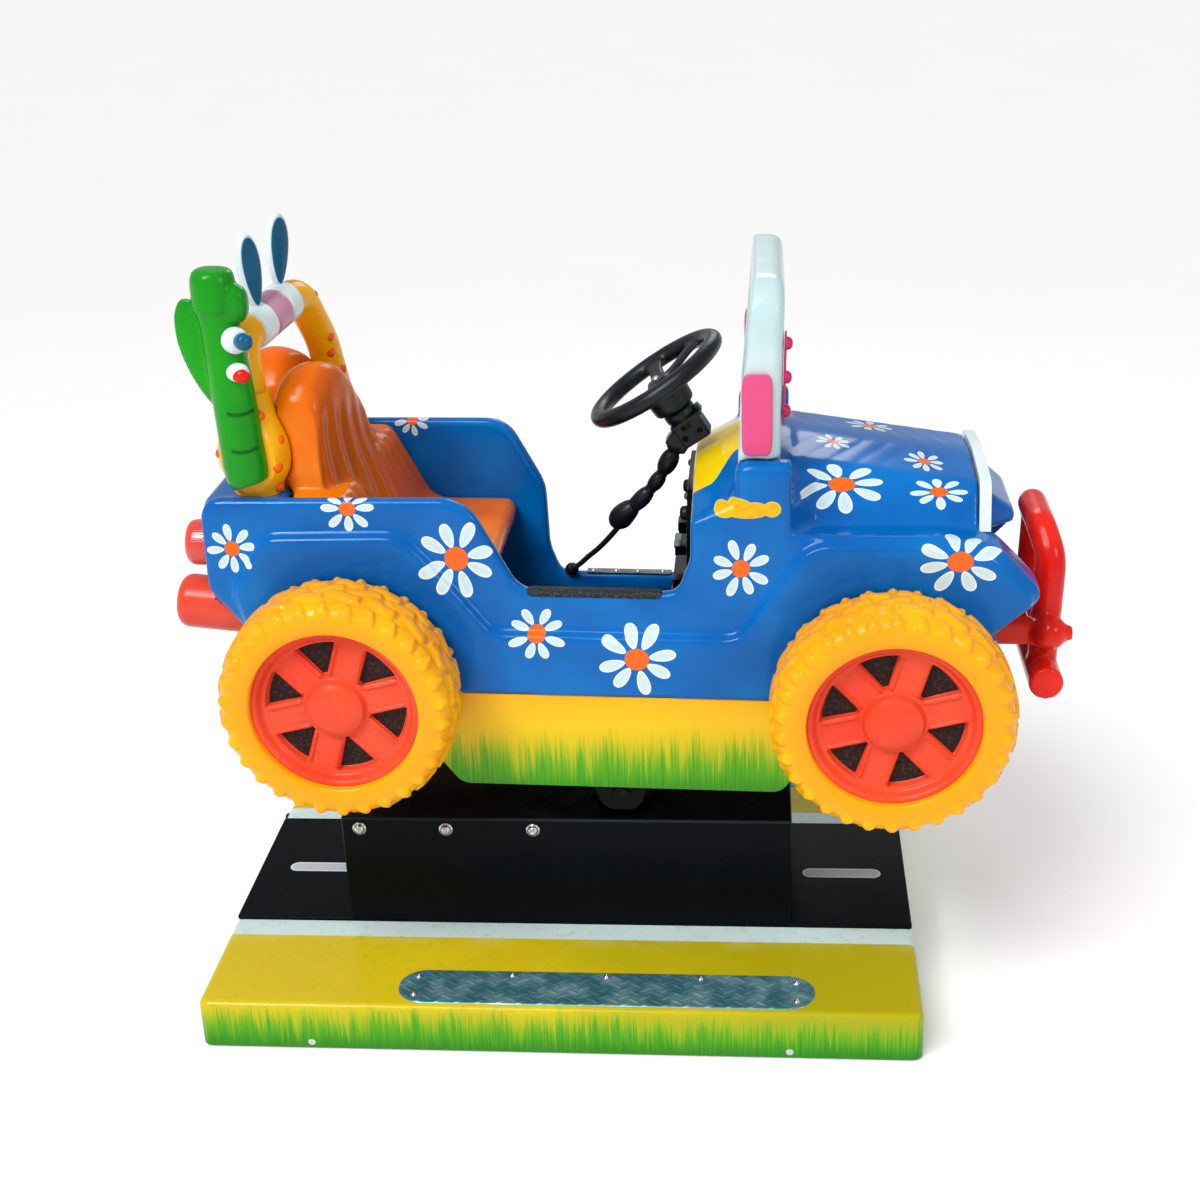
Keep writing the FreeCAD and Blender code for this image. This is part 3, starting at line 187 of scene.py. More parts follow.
def tubeGrid(path, width, height=None, sides=32, lean=(0, 0, 1)):
    # elliptic section carried along a path: centre + width*cos*side + height*sin*up
    path = np.asarray(path, float)
    along = np.gradient(path, axis=0)
    along /= np.linalg.norm(along, axis=1)[:, None]
    side = np.cross(along, np.asarray(lean, float))
    side /= np.linalg.norm(side, axis=1)[:, None]
    up = np.cross(side, along)
    wide = np.broadcast_to(width, len(path))[:, None, None]
    high = wide if height is None else np.broadcast_to(height, len(path))[:, None, None]
    turn = roundTurn(sides)[None, :, None]
    return path[:, None] + wide * np.cos(turn) * side[:, None] + high * np.sin(turn) * up[:, None]


def turnedGrid(profile, centre, axis, sides):
    # profile (radius, height) turned about an axis through centre
    profile, axis = np.asarray(profile, float), np.asarray(axis, float)
    axis = axis / np.linalg.norm(axis)
    other = np.array([0, 1, 0]) if abs(axis[1]) < 0.9 else np.array([1, 0, 0])
    side = np.cross(axis, other)
    side = side / np.linalg.norm(side)
    turn = roundTurn(sides)[None, :, None]
    ring = np.cos(turn) * side + np.sin(turn) * np.cross(axis, side)
    radius, height = profile[:, 0, None, None], profile[:, 1, None, None]
    return np.asarray(centre, float) + height * axis + radius * ring


def ballGrid(centre, radii, rows=24, sides=40, sharp=1.0):
    # ellipsoid, rows from pole to pole; with sharp below 1 a rounded block:
    # each axis is the sign times the sine or cosine to that power
    def power(w):
        return np.sign(w) * np.abs(w) ** sharp
    rise = np.linspace(-math.pi / 2, math.pi / 2, rows)[:, None]
    turn = roundTurn(sides)[None, :]
    flat, up = power(np.cos(rise)), power(np.sin(rise))
    unit = np.stack([flat * power(np.cos(turn)), flat * power(np.sin(turn)), up * np.ones_like(turn)], -1)
    return np.asarray(centre, float) + np.asarray(radii, float) * unit


def roundedBlock(centre, half, turn=None, sharp=0.28, rows=28, sides=48):
    # a ball whose sines and cosines are taken to a small power, turned, then moved to its centre
    grid = ballGrid((0, 0, 0), half, rows, sides, sharp)
    if turn is not None:
        grid = grid @ np.asarray(turn, float).T
    return np.asarray(centre, float) + grid


def tilted(angle):
    # turn about Y that leans Z back by the angle
    c, s = math.cos(angle), math.sin(angle)
    return np.array([[c, 0, -s], [0, 1, 0], [s, 0, c]])


shapes = {"turned": turnedGrid, "ball": ballGrid, "block": roundedBlock, "tube": tubeGrid, "grid": np.asarray}


def solid(kind, *numbers):
    # a closed shape given in level car millimetres, welded at its poles
    return outward(gridPiece(kind, toRow(shapes[kind](*numbers)), False, True, True))


def wear(piece, material):
    # this one material and no other
    piece.data.materials.clear()
    piece.data.materials.append(material)


def place(piece, body, material, slotName, *nodes):
    # rides on its body, takes its material and stands for CAD nodes
    wear(piece, material)
    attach(piece, body)
    if nodes:
        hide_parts(*nodes)


def assemble(name, parts, material, slotName, *nodes, body="car"):
    # parts as one piece on its body
    place(joined(name, parts), body, material, slotName, *nodes)


def dress(material, *nodes):
    # a CAD node keeps its shape and takes the material
    for name in nodes:
        wear(frame["nodes"][name], material)


# material helpers: a Wire is one value in a node tree, and working with wires adds the nodes

class Wire:
    def __init__(self, tree, socket):
        self.tree, self.socket = tree, socket

    def made(self, kind, output, inputs, **settings):
        node = self.tree.nodes.new(kind)
        for name, value in settings.items():
            setattr(node, name, value)
        for key, value in inputs.items():
            connect(self.tree, node.inputs[key], value)
        return Wire(self.tree, node.outputs[output])

    def math(self, how, *others):
        return self.made("ShaderNodeMath", 0, dict(enumerate((self, *others))), operation=how)

    def __add__(self, other):
        return self.math("ADD", other)

    def __sub__(self, other):
        return self.math("SUBTRACT", other)

    def __mul__(self, other):
        return self.math("MULTIPLY", other)

    def __truediv__(self, other):
        return self.math("DIVIDE", other)

    def __abs__(self):
        return self.math("ABSOLUTE")

    def step(self, low, high):
        # smooth step, from 0 at low to 1 at high
        given = {"Value": self, "From Min": low, "From Max": high}
        return self.made("ShaderNodeMapRange", "Result", given, interpolation_type="SMOOTHSTEP")

    def mix(self, a, b):
        # colour a where this is 0 and b where it is 1
        return self.made("ShaderNodeMix", 2, {0: self, 6: a, 7: b}, data_type="RGBA")


def connect(tree, socket, value):
    if isinstance(value, Wire):
        tree.links.new(value.socket, socket)
    elif isinstance(value, tuple):
        socket.default_value = (*value, 1)
    else:
        socket.default_value = value


def distance(a, b):
    # root of the two squares' sum
    return (a * a + b * b).math("SQRT")


class Finish:
    # one material with its object coordinates x, y and z; fixed values go straight on the shader
    def __init__(self, name, colour, rough=0.3, metal=0.0, coat=0.0, shine=0.3):
        self.material = bpy.data.materials.new(name)
        self.material.use_nodes = True
        self.tree = self.material.node_tree
        self.shader = self.tree.nodes["Principled BSDF"]
        self.put({"Base Color": colour, "Roughness": rough, "Metallic": metal, "Specular IOR Level": shine,
                  "Coat Weight": coat, "Coat Roughness": 0.08})
        self.source = self.tree.nodes.new("ShaderNodeTexCoord")
        self.x, self.y, self.z = self.split("Object")

    def put(self, values):
        for name, value in values.items():
            connect(self.tree, self.shader.inputs[name], value)

    def split(self, output):
        # three numbers of the coordinates: Object for the place, Normal for the way the surface faces
        node = self.tree.nodes.new("ShaderNodeSeparateXYZ")
        self.tree.links.new(self.source.outputs[output], node.inputs[0])
        return [Wire(self.tree, socket) for socket in node.outputs]

    def noise(self, scale, detail=3.0, stretch=None):
        # grey noise on object coordinates, stretched per axis if asked
        where = Wire(self.tree, self.source.outputs["Object"])
        if stretch:
            mapping = self.tree.nodes.new("ShaderNodeMapping")
            mapping.inputs["Scale"].default_value = stretch
            self.tree.links.new(where.socket, mapping.inputs["Vector"])
            where = Wire(self.tree, mapping.outputs["Vector"])
        return where.made("ShaderNodeTexNoise", "Fac", {"Vector": where, "Scale": scale, "Detail": detail})

    def bumps(self, *layers):
        # (height, depth in metres) layers added one on another
        parts = [height * depth for height, depth in layers]
        total = parts[0]
        for part in parts[1:]:
            total = total + part
        given = {"Height": total, "Distance": 1.0, "Strength": 1.0}
        self.put({"Normal": total.made("ShaderNodeBump", "Normal", given)})


def gelCoat(name, colour, deep=None, rough=0.2, coat=0.12, wave=0.0006, paint=None, shine=0.16):
    # glossy moulded skin: cloudy colour, uneven gloss, slow waves and fine peel
    finish = Finish(name, colour, rough, 0.0, coat, shine)
    deep = deep or tuple(c * 0.78 for c in colour)
    base = finish.noise(6.0, 4.0).step(0.35, 0.7).mix(deep, colour)
    if paint:
        base = paint(finish, base)
    finish.put({"Base Color": base, "Roughness": finish.noise(45.0, 5.0) * 0.16 + (rough - 0.08)})
    finish.bumps((finish.noise(9.0, 2.0), wave), (finish.noise(420.0, 2.0), 0.00002),
                 (finish.noise(60.0, 2.0), 0.00006))
    return finish.material


def surface(name, colour, rough, worn=None, cloud=None, gloss=None, bumps=None, **fixed):
    # a plain finish; cloud is noise scale, detail and the step's two limits towards the worn colour,
    # gloss is noise scale, detail, range and least roughness, bumps is a list of scale, detail, depth
    finish = Finish(name, colour, rough, **fixed)
    if cloud:
        finish.put({"Base Color": finish.noise(*cloud[:2]).step(*cloud[2:]).mix(colour, worn)})
    if gloss:
        finish.put({"Roughness": finish.noise(*gloss[:2]) * gloss[2] + gloss[3]})
    if bumps:
        finish.bumps(*[(finish.noise(scale, detail), depth) for scale, detail, depth in bumps])
    return finish.material


# camera, light and floor

camera = {"place": (0.3444, -2.8353, 1.8519), "azimuth": 0.0997, "elevation": 0.4037,
          "roll": -0.0409, "lens": 53.74, "sensor": 36}
light = {"sky": 0.50, "sun": 1.7, "sunAngle": 0.5, "sunWay": (0.45, 0.85, -1.25),
         "floorGrey": 0.88, "floorGlow": 0.13, "floorHalf": 45,
         "areas": [("keyLight", (-1.6, -2.2, 3.2), (0, 0, 0.6), 0.9, 42),  # place, aim, size, power
                   ("fillLight", (2.6, -1.9, 2.2), (0.2, 0, 0.6), 0.8, 16),
                   ("backLight", (0.4, 2.6, 2.6), (0, 0, 0.7), 1.2, 16)]}


def addCamera():
    # turned by azimuth, lowered by elevation, then rolled about its own line of sight
    data = bpy.data.cameras.new("camera")
    data.lens, data.sensor_width = camera["lens"], camera["sensor"]
    made = addObject("camera", data)
    a, e, roll = camera["azimuth"], camera["elevation"], camera["roll"]
    forward = Vector((-math.sin(a) * math.cos(e), math.cos(a) * math.cos(e), -math.sin(e)))
    right = Vector((math.cos(a), math.sin(a), 0))
    up = right.cross(forward)
    side = right * math.cos(roll) + up * math.sin(roll)
    top = up * math.cos(roll) - right * math.sin(roll)
    turn = Matrix((side, top, -forward)).transposed().to_4x4()
    made.matrix_world = Matrix.Translation(camera["place"]) @ turn
    bpy.context.scene.camera = made


def aimed(way):
    return Vector(way).to_track_quat("-Z", "Y").to_matrix().to_4x4()


def addLights():
    data = bpy.data.lights.new("softSun", "SUN")
    data.energy, data.angle = light["sun"], light["sunAngle"]
    addObject("softSun", data).matrix_world = aimed(light["sunWay"])
    for name, spot, aim, size, power in light["areas"]:
        data = bpy.data.lights.new(name, "AREA")
        data.shape, data.size, data.energy = "SQUARE", size, power
        turn = aimed(Vector(aim) - Vector(spot))
        addObject(name, data).matrix_world = Matrix.Translation(spot) @ turn


def addStage():
    bpy.context.scene.view_settings.view_transform = "Standard"
    world = bpy.data.worlds.new("sky")
    bpy.context.scene.world = world
    world.use_nodes = True
    sky = world.node_tree.nodes["Background"]
    sky.inputs["Color"].default_value = (1, 1, 1, 1)
    sky.inputs["Strength"].default_value = light["sky"]
    grey, half = light["floorGrey"], light["floorHalf"]
    paper = Finish("floorPaper", (grey, grey, grey), 0.7)
    paper.put({"Base Color": paper.noise(1.2) * 0.03 + (grey - 0.015), "Emission Color": (1, 1, 1),
               "Emission Strength": light["floorGlow"]})
    corners = np.array([[-half, -half, 0], [half, -half, 0], [half, half, 0], [-half, half, 0]], float)
    floor = meshPiece("floor", corners, [(0, 1, 2, 3)])
    floor.data.materials.append(paper.material)


addCamera()
addLights()
addStage()
print("camera, light and floor")

# the cord from the loom's end to its gland

cord = {"radius": 0.005, "length": 0.229,
        "route": [(84.8, 36.5, 756.9), (68, 50, 732), (45, 82, 697),
                  (22, 122, 665), (4, 156, 636), (-10, 187, 616)]}


def addCord():
    # a smooth curve of round section through the route's points
    points = toRow(cord["route"])
    data = bpy.data.curves.new("cableCord", "CURVE")
    data.dimensions = "3D"
    data.bevel_depth, data.bevel_resolution, data.resolution_u = cord["radius"], 6, 24
    data.use_fill_caps = True
    spline = data.splines.new("NURBS")
    spline.points.add(len(points) - 1)
    spline.points.foreach_set("co", np.c_[points, np.ones(len(points))].ravel())
    spline.order_u = 3
    spline.use_endpoint_u = True
    piece = addObject("cableCord", data)
    rubber = surface("cordRubber", (0.012, 0.012, 0.013), 0.42, gloss=(130.0, 4.0, 0.2, 0.34),
                     bumps=[(500.0, 3.0, 0.00004)])
    place(piece, "car", rubber, "black_rubber", "cable_cord")


addCord()
print("cord")

# painted flowers and clouds, as masks worked out from object coordinates

flowerTone = {"petal": (0.56, 0.70, 0.74), "edge": (0.78, 0.86, 0.87), "vein": (0.34, 0.52, 0.62),
              "eye": (0.84, 0.13, 0.010)}
sideFlowers = [  # x, z, radius across, radius down, turn, in metres
    (-0.5056, 0.8217, 0.043, 0.045, 0.30), (-0.3119, 0.8885, 0.046, 0.042, 0.39),
    (-0.1432, 0.8029, 0.066, 0.070, 0.10), (-0.0203, 0.6759, 0.050, 0.046, 0.0),
    (0.1401, 0.6342, 0.068, 0.066, 0.18), (0.3073, 0.7842, 0.050, 0.052, 0.05),
    (0.6448, 0.8005, 0.070, 0.056, 0.12)]
hoodFlowers = [(0.4657, 0.8989, 0.074, 0.050, 0.22), (0.6184, 0.8877, 0.049, 0.034, 0.30)]
topFlowers = [  # x, y, radius, radius, turn
    (0.600, -0.074, 0.034, 0.040, 0.3), (0.455, -0.045, 0.030, 0.030, 0.1), (0.52, 0.078, 0.042, 0.036, 0.5)]
farFlowers = [(-0.2845, 0.8995, 0.034, 0.030, 0.2), (0.10, 0.50, 0.06, 0.06, 0.1)]
cloudPuffs = [(0.283, 0.880, 0.017, 0.011), (0.306, 0.886, 0.020, 0.014), (0.330, 0.884, 0.019, 0.011),
              (0.356, 0.883, 0.014, 0.013), (0.318, 0.876, 0.030, 0.008)]
daisy = {"petals": 8, "reach": 0.93, "uneven": 0.045, "swing": 0.06, "middle": 0.66, "half": 0.34,
         "wide": 0.150, "taper": 0.10, "eye": 0.295}


def daisyGroup():
    # eight petals: the angle folds into one petal, which is an ellipse out from the middle
    group = bpy.data.node_groups.new("daisy", "ShaderNodeTree")
    face = group.interface
    for name in ("U", "V", "centreU", "centreV", "radiusU", "radiusV", "turn"):
        face.new_socket(name, in_out="INPUT", socket_type="NodeSocketFloat")
    for name in ("petal", "edge", "vein", "eye"):
        face.new_socket(name, in_out="OUTPUT", socket_type="NodeSocketFloat")
    given = {s.name: Wire(group, s) for s in group.nodes.new("NodeGroupInput").outputs}
    out = group.nodes.new("NodeGroupOutput")
    u = (given["U"] - given["centreU"]) / given["radiusU"]
    v = (given["V"] - given["centreV"]) / given["radiusV"]
    radius = distance(u, v)
    sector = fullTurn / daisy["petals"]
    fold = (v.math("ARCTAN2", u) + given["turn"]) * (1 / sector)
    seed = fold.math("FLOOR") * 2.37 + given["centreU"] * 91.0
    swing = (fold.math("FRACT") - 0.5) * sector + seed.math("COSINE") * daisy["swing"]
    reach = seed.math("SINE") * daisy["uneven"] + daisy["reach"]
    along = radius * swing.math("COSINE") / reach
    across = radius * swing.math("SINE")
    past = along - daisy["middle"]
    taper = past * daisy["taper"] + daisy["wide"]
    oval = (past / daisy["half"]).math("POWER", 2.0) + (across / taper).math("POWER", 2.0)
    masks = {"petal": oval.step(1.03, 0.97), "edge": oval.step(0.62, 0.86),
             "vein": abs(across).step(0.02, 0.0) * oval.step(0.6, 0.1),
             "eye": radius.step(daisy["eye"], daisy["eye"] - 0.015)}
    for name, mask in masks.items():
        connect(group, out.inputs[name], mask)
    return group


daisies = daisyGroup()


def paintFlowers(finish, base, u, v, where, flowers):
    # lays flowers over the base colour, within a mask
    for flower in flowers:
        node = finish.tree.nodes.new("ShaderNodeGroup")
        node.node_tree = daisies
        names = ("U", "V", "centreU", "centreV", "radiusU", "radiusV", "turn")
        for name, value in zip(names, (u, v, *flower)):
            connect(finish.tree, node.inputs[name], value)
        mask = {s.name: Wire(finish.tree, s) for s in node.outputs}
        petal = mask["edge"].mix(flowerTone["petal"], flowerTone["edge"])
        petal = (mask["vein"] * 0.45).mix(petal, flowerTone["vein"])
        base = (mask["petal"] * where).mix(base, petal)
        base = (mask["eye"] * where).mix(base, flowerTone["eye"])
    return base


def puffMask(u, v, puffs):
    # union of soft-edged ellipses
    total = None
    for centreU, centreV, radiusU, radiusV in puffs:
        du, dv = (u - centreU) / radiusU, (v - centreV) / radiusV
        part = du * du + dv * dv
        total = part if total is None else total.math("SMOOTH_MIN", part, 0.3)
    return total


bodyLook = {"blue": (0.0004, 0.150, 0.49), "deep": (0.0002, 0.100, 0.38), "voxel": 0.0058, "rounds": 4,
            "capYellow": (0.82, 0.60, 0.004), "capDeep": (0.82, 0.52, 0.004), "cloud": (0.93, 0.42, 0.004),
            "cloudDeep": (0.80, 0.33, 0.004), "cloudRim": (0.62, 0.55, 0.05),
            "sideTop": 0.224, "hoodTop": 0.150,  # how far out a flower starts to run over an edge
            "sideSkin": (-0.186, -0.190), "farSkin": (0.15, 0.17), "hoodStart": (0.384, 0.388),
            "hoodEnd": (0.702, 0.70), "capHalf": 0.144, "capNarrows": -0.064, "capFeet": (0.258, 0.302),
            "capSlope": -0.28, "capHeight": (0.811, 0.813), "capStart": (0.18, 0.181),
            "capEnd": (0.350, 0.348)}


def paintBody(finish, base):
    x, y, z = finish.x, finish.y, finish.z
    wayY, wayZ = finish.split("Normal")[1:]
    # a flower near an edge runs on over it: the height grows with the way in from the side
    height = z + (y + bodyLook["sideTop"]).math("MAXIMUM", 0.0)
    outside = y.step(*bodyLook["sideSkin"]) * wayY.step(0.35, 0.15)
    base = paintFlowers(finish, base, x, height, outside, sideFlowers)
    hoodHeight = z + (y + bodyLook["hoodTop"]).math("MAXIMUM", 0.0)
    onHood = x.step(*bodyLook["hoodStart"]) * y.step(-0.190, -0.186)
    onHood = onHood * (y.step(-0.06, -0.08) * x.step(*bodyLook["hoodEnd"]))
    base = paintFlowers(finish, base, x, hoodHeight, onHood, hoodFlowers)
    base = paintFlowers(finish, base, x, z, y.step(*bodyLook["farSkin"]), farFlowers)
    puff = puffMask(x, z, cloudPuffs)
    cloud = finish.noise(90.0).step(0.4, 0.7).mix(bodyLook["cloud"], bodyLook["cloudDeep"])
    cloud = puff.step(0.75, 0.9).mix(cloud, bodyLook["cloudRim"])
    base = (puff.step(1.03, 0.97) * outside).mix(base, cloud)
    base = paintFlowers(finish, base, x, y, wayZ.step(0.45, 0.6) * x.step(0.39, 0.40), topFlowers)
    # yellow top of the cowl: its edge narrows towards the windshield's feet
    edge = x.step(*bodyLook["capFeet"]) * bodyLook["capNarrows"] + bodyLook["capHalf"]
    over = (edge - abs(y)).step(-0.001, 0.001)
    high = (z + x * bodyLook["capSlope"]).step(*bodyLook["capHeight"])
    cap = over * high * (x.step(*bodyLook["capEnd"]) * x.step(*bodyLook["capStart"]))
    yellow = finish.noise(20.0).step(0.4, 0.65).mix(bodyLook["capYellow"], bodyLook["capDeep"])
    return cap.mix(base, yellow)


def addBody():
    # the shell's CAD nodes melted together, painted as above
    blue = gelCoat("bodyBlue", bodyLook["blue"], bodyLook["deep"], 0.16, 0.12, 0.0008, paintBody)
    nodes = ["body_side_right", "body_side_left", "rear_deck", "cowl", "dash_cap", "hood", "nose_panel"]
    shell = melted("bodyMoulding", [frame["nodes"][n] for n in nodes], bodyLook["voxel"], bodyLook["rounds"])
    place(shell, "car", blue, "body_blue", *nodes)


addBody()
print("body moulding")

# wheels: moulded tyre and spoked rim, made once about the hub and copied to four places

tyre = {"wide": 0.131, "bore": 0.131, "tip": 0.1935, "around": 480, "across": 96,
        "nubs": 30, "nubTall": 0.0066, "nubAt": 0.90, "nubLong": 0.13, "nubWide": 0.58,
        "groove": 0.0022, "grooveAt": 0.60, "grooveBow": 0.05,
        "blocks": 20, "blockTall": 0.0052, "blockWide": 0.165, "wave": 0.09,
        "blockRows": ((-0.36, 0.0), (0.0, math.pi), (0.36, 0.0)),  # place across, shift round
        "yellow": (0.93, 0.47, 0.003), "deep": (0.90, 0.36, 0.002), "wall": (0.90, 0.33, 0.003)}
rim = {"spokes": 6, "halfSpoke": 0.025, "face": 0.100, "floor": 0.090, "turn": 0.23,
       "windowIn": (0.0535, 0.0575), "windowOut": (0.110, 0.1145),  # radii over which a window's wall drops
       "red": (0.78, 0.075, 0.028), "deep": (0.74, 0.045, 0.015),
       "shade": (0.012, 0.006, 0.004), "dust": (0.06, 0.022, 0.016),
       "circles": [(0.0004, 0.040, 14), (0.040, 0.0475, 8), (0.0475, 0.0535, 5), (0.0535, 0.0575, 5),
                   (0.0575, 0.110, 16), (0.110, 0.1145, 5), (0.1145, 0.124, 8), (0.124, 0.1335, 8)],
       "lanes": [(0, 0.55, 7), (0.62, 0.96, 9), (1.0, 1.06, 3), (1.12, 1.6, 5), (2.0, 2.0, 1)],
       "barrel": [(0.1336, 0.116), (0.1336, 0.012), (0.126, 0.012), (0.0004, 0.020)]}  # radius, height


def wheelFrame(node):
    # hub centre on the wheel's inner face and the outward sign, from the CAD tyre's box
    low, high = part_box(node)
    sign = 1 if low.y > 0 else -1
    inner = low.y if sign > 0 else high.y
    return Vector(((low.x + high.x) / 2, inner, (low.z + high.z) / 2)), sign


def tyreSection(t):
    # half-round shoulders: bead, bulged wall, crowned tread, wall, bead, as t goes 0 to 1
    keyT = np.array([0, .05, .13, .22, .30, .38, .50, .62, .70, .78, .87, .95, 1.0])
    keyR = np.array([134, 137, 151, 168, 180, 185, 186.5, 185, 180, 168, 151, 137, 134]) / 1000
    keyZ = np.array([10, 4, 0, 3, 13, 29, 65, 101, 117, 128, 131, 127, 121]) / 1000
    curve = pathPoints(np.c_[keyR, keyZ], 400)
    spot = np.interp(np.linspace(0, 1, 400), np.linspace(0, 1, len(keyT)), keyT)
    return np.interp(t, spot, curve[:, 0]), np.interp(t, spot, curve[:, 1])


def nubRow(turn, w, side):
    # drops round a shoulder: half an ellipse towards the wall, a tapering point towards the crown
    local = ((turn * tyre["nubs"] / fullTurn) % 1 - 0.5) * 2
    along = (side * w - tyre["nubAt"]) / tyre["nubLong"]
    narrow = np.where(along > 0, 1.0, np.clip(1 + along * 0.42, 0.15, 1))
    drop = 1 - (local / (tyre["nubWide"] * narrow)) ** 2
    drop -= np.where(along > 0, along ** 2, (along / 1.9) ** 2)
    return np.sqrt(np.clip(drop, 0, 1))


def tyreGrid():
    # pushed out from the section: a row of drops on each shoulder, wavy blocks round the crown
    turn = roundTurn(tyre["around"])[:, None]
    radius, depth = tyreSection(np.linspace(0, 1, tyre["across"])[None, :])
    slopeR, slopeZ = np.gradient(radius, axis=1), np.gradient(depth, axis=1)
    size = np.hypot(slopeR, slopeZ) + 1e-12
    normR, normZ = slopeZ / size, -slopeR / size
    half = tyre["wide"] / 2
    w = (depth - half) / half
    push = np.zeros((tyre["around"], tyre["across"]))
    onShoulder = smoothStep(0.160, 0.168, radius)
    for side in (-1, 1):
        drops = nubRow(turn, w, side) * (side * w > 0.35)
        push = np.maximum(push, tyre["nubTall"] * drops * onShoulder)
        bow = tyre["grooveAt"] + tyre["grooveBow"] * np.sin(turn * tyre["nubs"])
        push -= tyre["groove"] * smoothStep(0.045, 0.0, np.abs(side * w - bow)) * (radius > 0.17)
    phase = turn * tyre["blocks"]
    for row, shift in tyre["blockRows"]:
        local = np.abs((((phase + shift) / fullTurn) % 1) - 0.5) * 2
        lateral = np.abs(w - row - tyre["wave"] * np.sin(phase)) / tyre["blockWide"]
        shape = smoothStep(0.90, 0.72, local) * smoothStep(1.10, 0.80, lateral)
        push += tyre["blockTall"] * shape * (radius > 0.178)
    push = np.minimum(push, np.maximum(tyre["tip"] - radius, 0) / np.maximum(normR, 0.2))
    r, z = radius + push * normR, np.clip(depth + push * normZ, 0.0003, tyre["wide"] - 0.0003)
    points = np.stack([r * np.cos(turn), r * np.sin(turn), z], -1)
    bore = tyre["bore"]
    hidden = np.stack([bore * np.cos(turn), bore * np.sin(turn), np.full_like(turn, half)], -1)
    return np.concatenate([points, hidden], 1)


def rimGrid():
    # height over a polar grid whose lines follow the spokes' edges: spokes stand high, windows are deep
    r = np.unique(np.concatenate([np.linspace(*part) for part in rim["circles"]]))[:, None]
    lane = np.concatenate([np.linspace(*part) for part in rim["lanes"]])[None, :]
    half, sector = rim["halfSpoke"], math.pi / rim["spokes"]
    edge = np.arcsin(np.clip(half / np.maximum(r, half * 1.02), 0, np.sin(sector * 0.86)))
    inside = np.minimum(lane, 1.0)
    angle = edge * inside + (sector - edge) * np.clip(lane - 1.0, 0, 1)
    ridge = np.exp(-((inside - 0.83) / 0.085) ** 2) * (lane <= 1.0) * 0.0045
    window = smoothStep(*rim["windowIn"], r) * (1 - smoothStep(*rim["windowOut"], r))
    wall = smoothStep(1.0, 1.06, lane) * window
    onSpoke = smoothStep(0.052, 0.06, r) * (1 - smoothStep(0.106, 0.112, r))
    ring = 0.003 * smoothStep(0.108, 0.1165, r) + 0.014 * smoothStep(0.1165, 0.128, r)
    dome = np.where(r < 0.044, 0.020 * np.sqrt(np.clip(1 - (r / 0.0475) ** 2, 0, 1)) + 0.004, 0)
    dome = np.maximum(dome, 0.013 * smoothStep(0.0505, 0.043, r))
    high = rim["face"] + ridge * onSpoke + ring + dome
    z = high * (1 - wall) + rim["floor"] * wall
    sign = np.concatenate([angle[:, ::-1] * -1, angle[:, 1:]], 1)[:, :-1]
    height = np.concatenate([z[:, ::-1], z[:, 1:]], 1)[:, :-1]
    deep = np.concatenate([wall[:, ::-1], wall[:, 1:]], 1)[:, :-1]
    around = np.concatenate([sign + k * 2 * sector + rim["turn"] for k in range(rim["spokes"])], 1)
    heights, deeps = np.tile(height, rim["spokes"]), np.tile(deep, rim["spokes"])
    face = np.stack([r * np.cos(around), r * np.sin(around), heights], -1)
    # the barrel runs back from the lip and in behind, so that the rim is a closed shape
    last = around[-1]
    rows = [np.stack([q * np.cos(last), q * np.sin(last), np.full_like(last, h)], -1)[None]
            for q, h in rim["barrel"]]
    return np.concatenate([face, *rows]), np.concatenate([deeps, np.zeros((len(rows), deeps.shape[1]))])


def paintTyre(finish, base):
    # warmer towards the bead: the distance to the nearer hub decides
    hubs = [wheelFrame("tyre_" + end + "_right")[0] for end in ("rear", "front")]
    rear, front = [distance(finish.x - hub.x, finish.z - hub.z) for hub in hubs]
    bead = rear.math("MINIMUM", front).step(0.182, 0.150)
    warm = (finish.noise(11.0, 4.0).step(0.3, 0.75) * 0.4).math("MAXIMUM", bead)
    return (warm * 0.9).mix(base, tyre["wall"])


def addWheels():
    yellow = gelCoat("tyreYellow", tyre["yellow"], tyre["deep"], 0.26, 0.12, 0.0005, paintTyre)
    red = gelCoat("rimRed", rim["red"], rim["deep"], 0.28, 0.12, 0.0004)
    dark = surface("rimShade", rim["shade"], 0.75, rim["dust"], (160.0, 4.0, 0.45, 0.7))
    tyrePoints = tyreGrid()
    rimPoints, deep = rimGrid()
    shade = (deep[:-1] > 0.9) & (deep[1:] > 0.9) & (np.roll(deep, -1, 1)[:-1] > 0.9)
    for end in ("rear", "front"):
        for hand in ("right", "left"):
            label, title = end + "_" + hand, end.title() + hand.title()
            centre, sign = wheelFrame("tyre_" + label)
            # local x, y, height to x, z, y; flipping the turn with the side keeps the faces outward
            pairs = [np.stack([centre.x + p[..., 0], centre.y + sign * p[..., 2],
                               centre.z - sign * p[..., 1]], -1) for p in (tyrePoints, rimPoints)]
            made = outward(gridPiece("tyre" + title, pairs[0], True, True))
            place(made, "wheel_" + label, yellow, "tyre_yellow", "tyre_" + label)
            made = gridPiece("rim" + title, pairs[1], False, True, True)
            place(made, "wheel_" + label, red, "rim_red", "rim_" + label)
            made.data.materials.append(dark)
            mask = np.zeros(len(made.data.polygons), int)
            mask[:shade.size] = shade.ravel()
            made.data.polygons.foreach_set("material_index", mask)
            outward(made)


addWheels()
print("wheels")

# plinth, road, drive cover

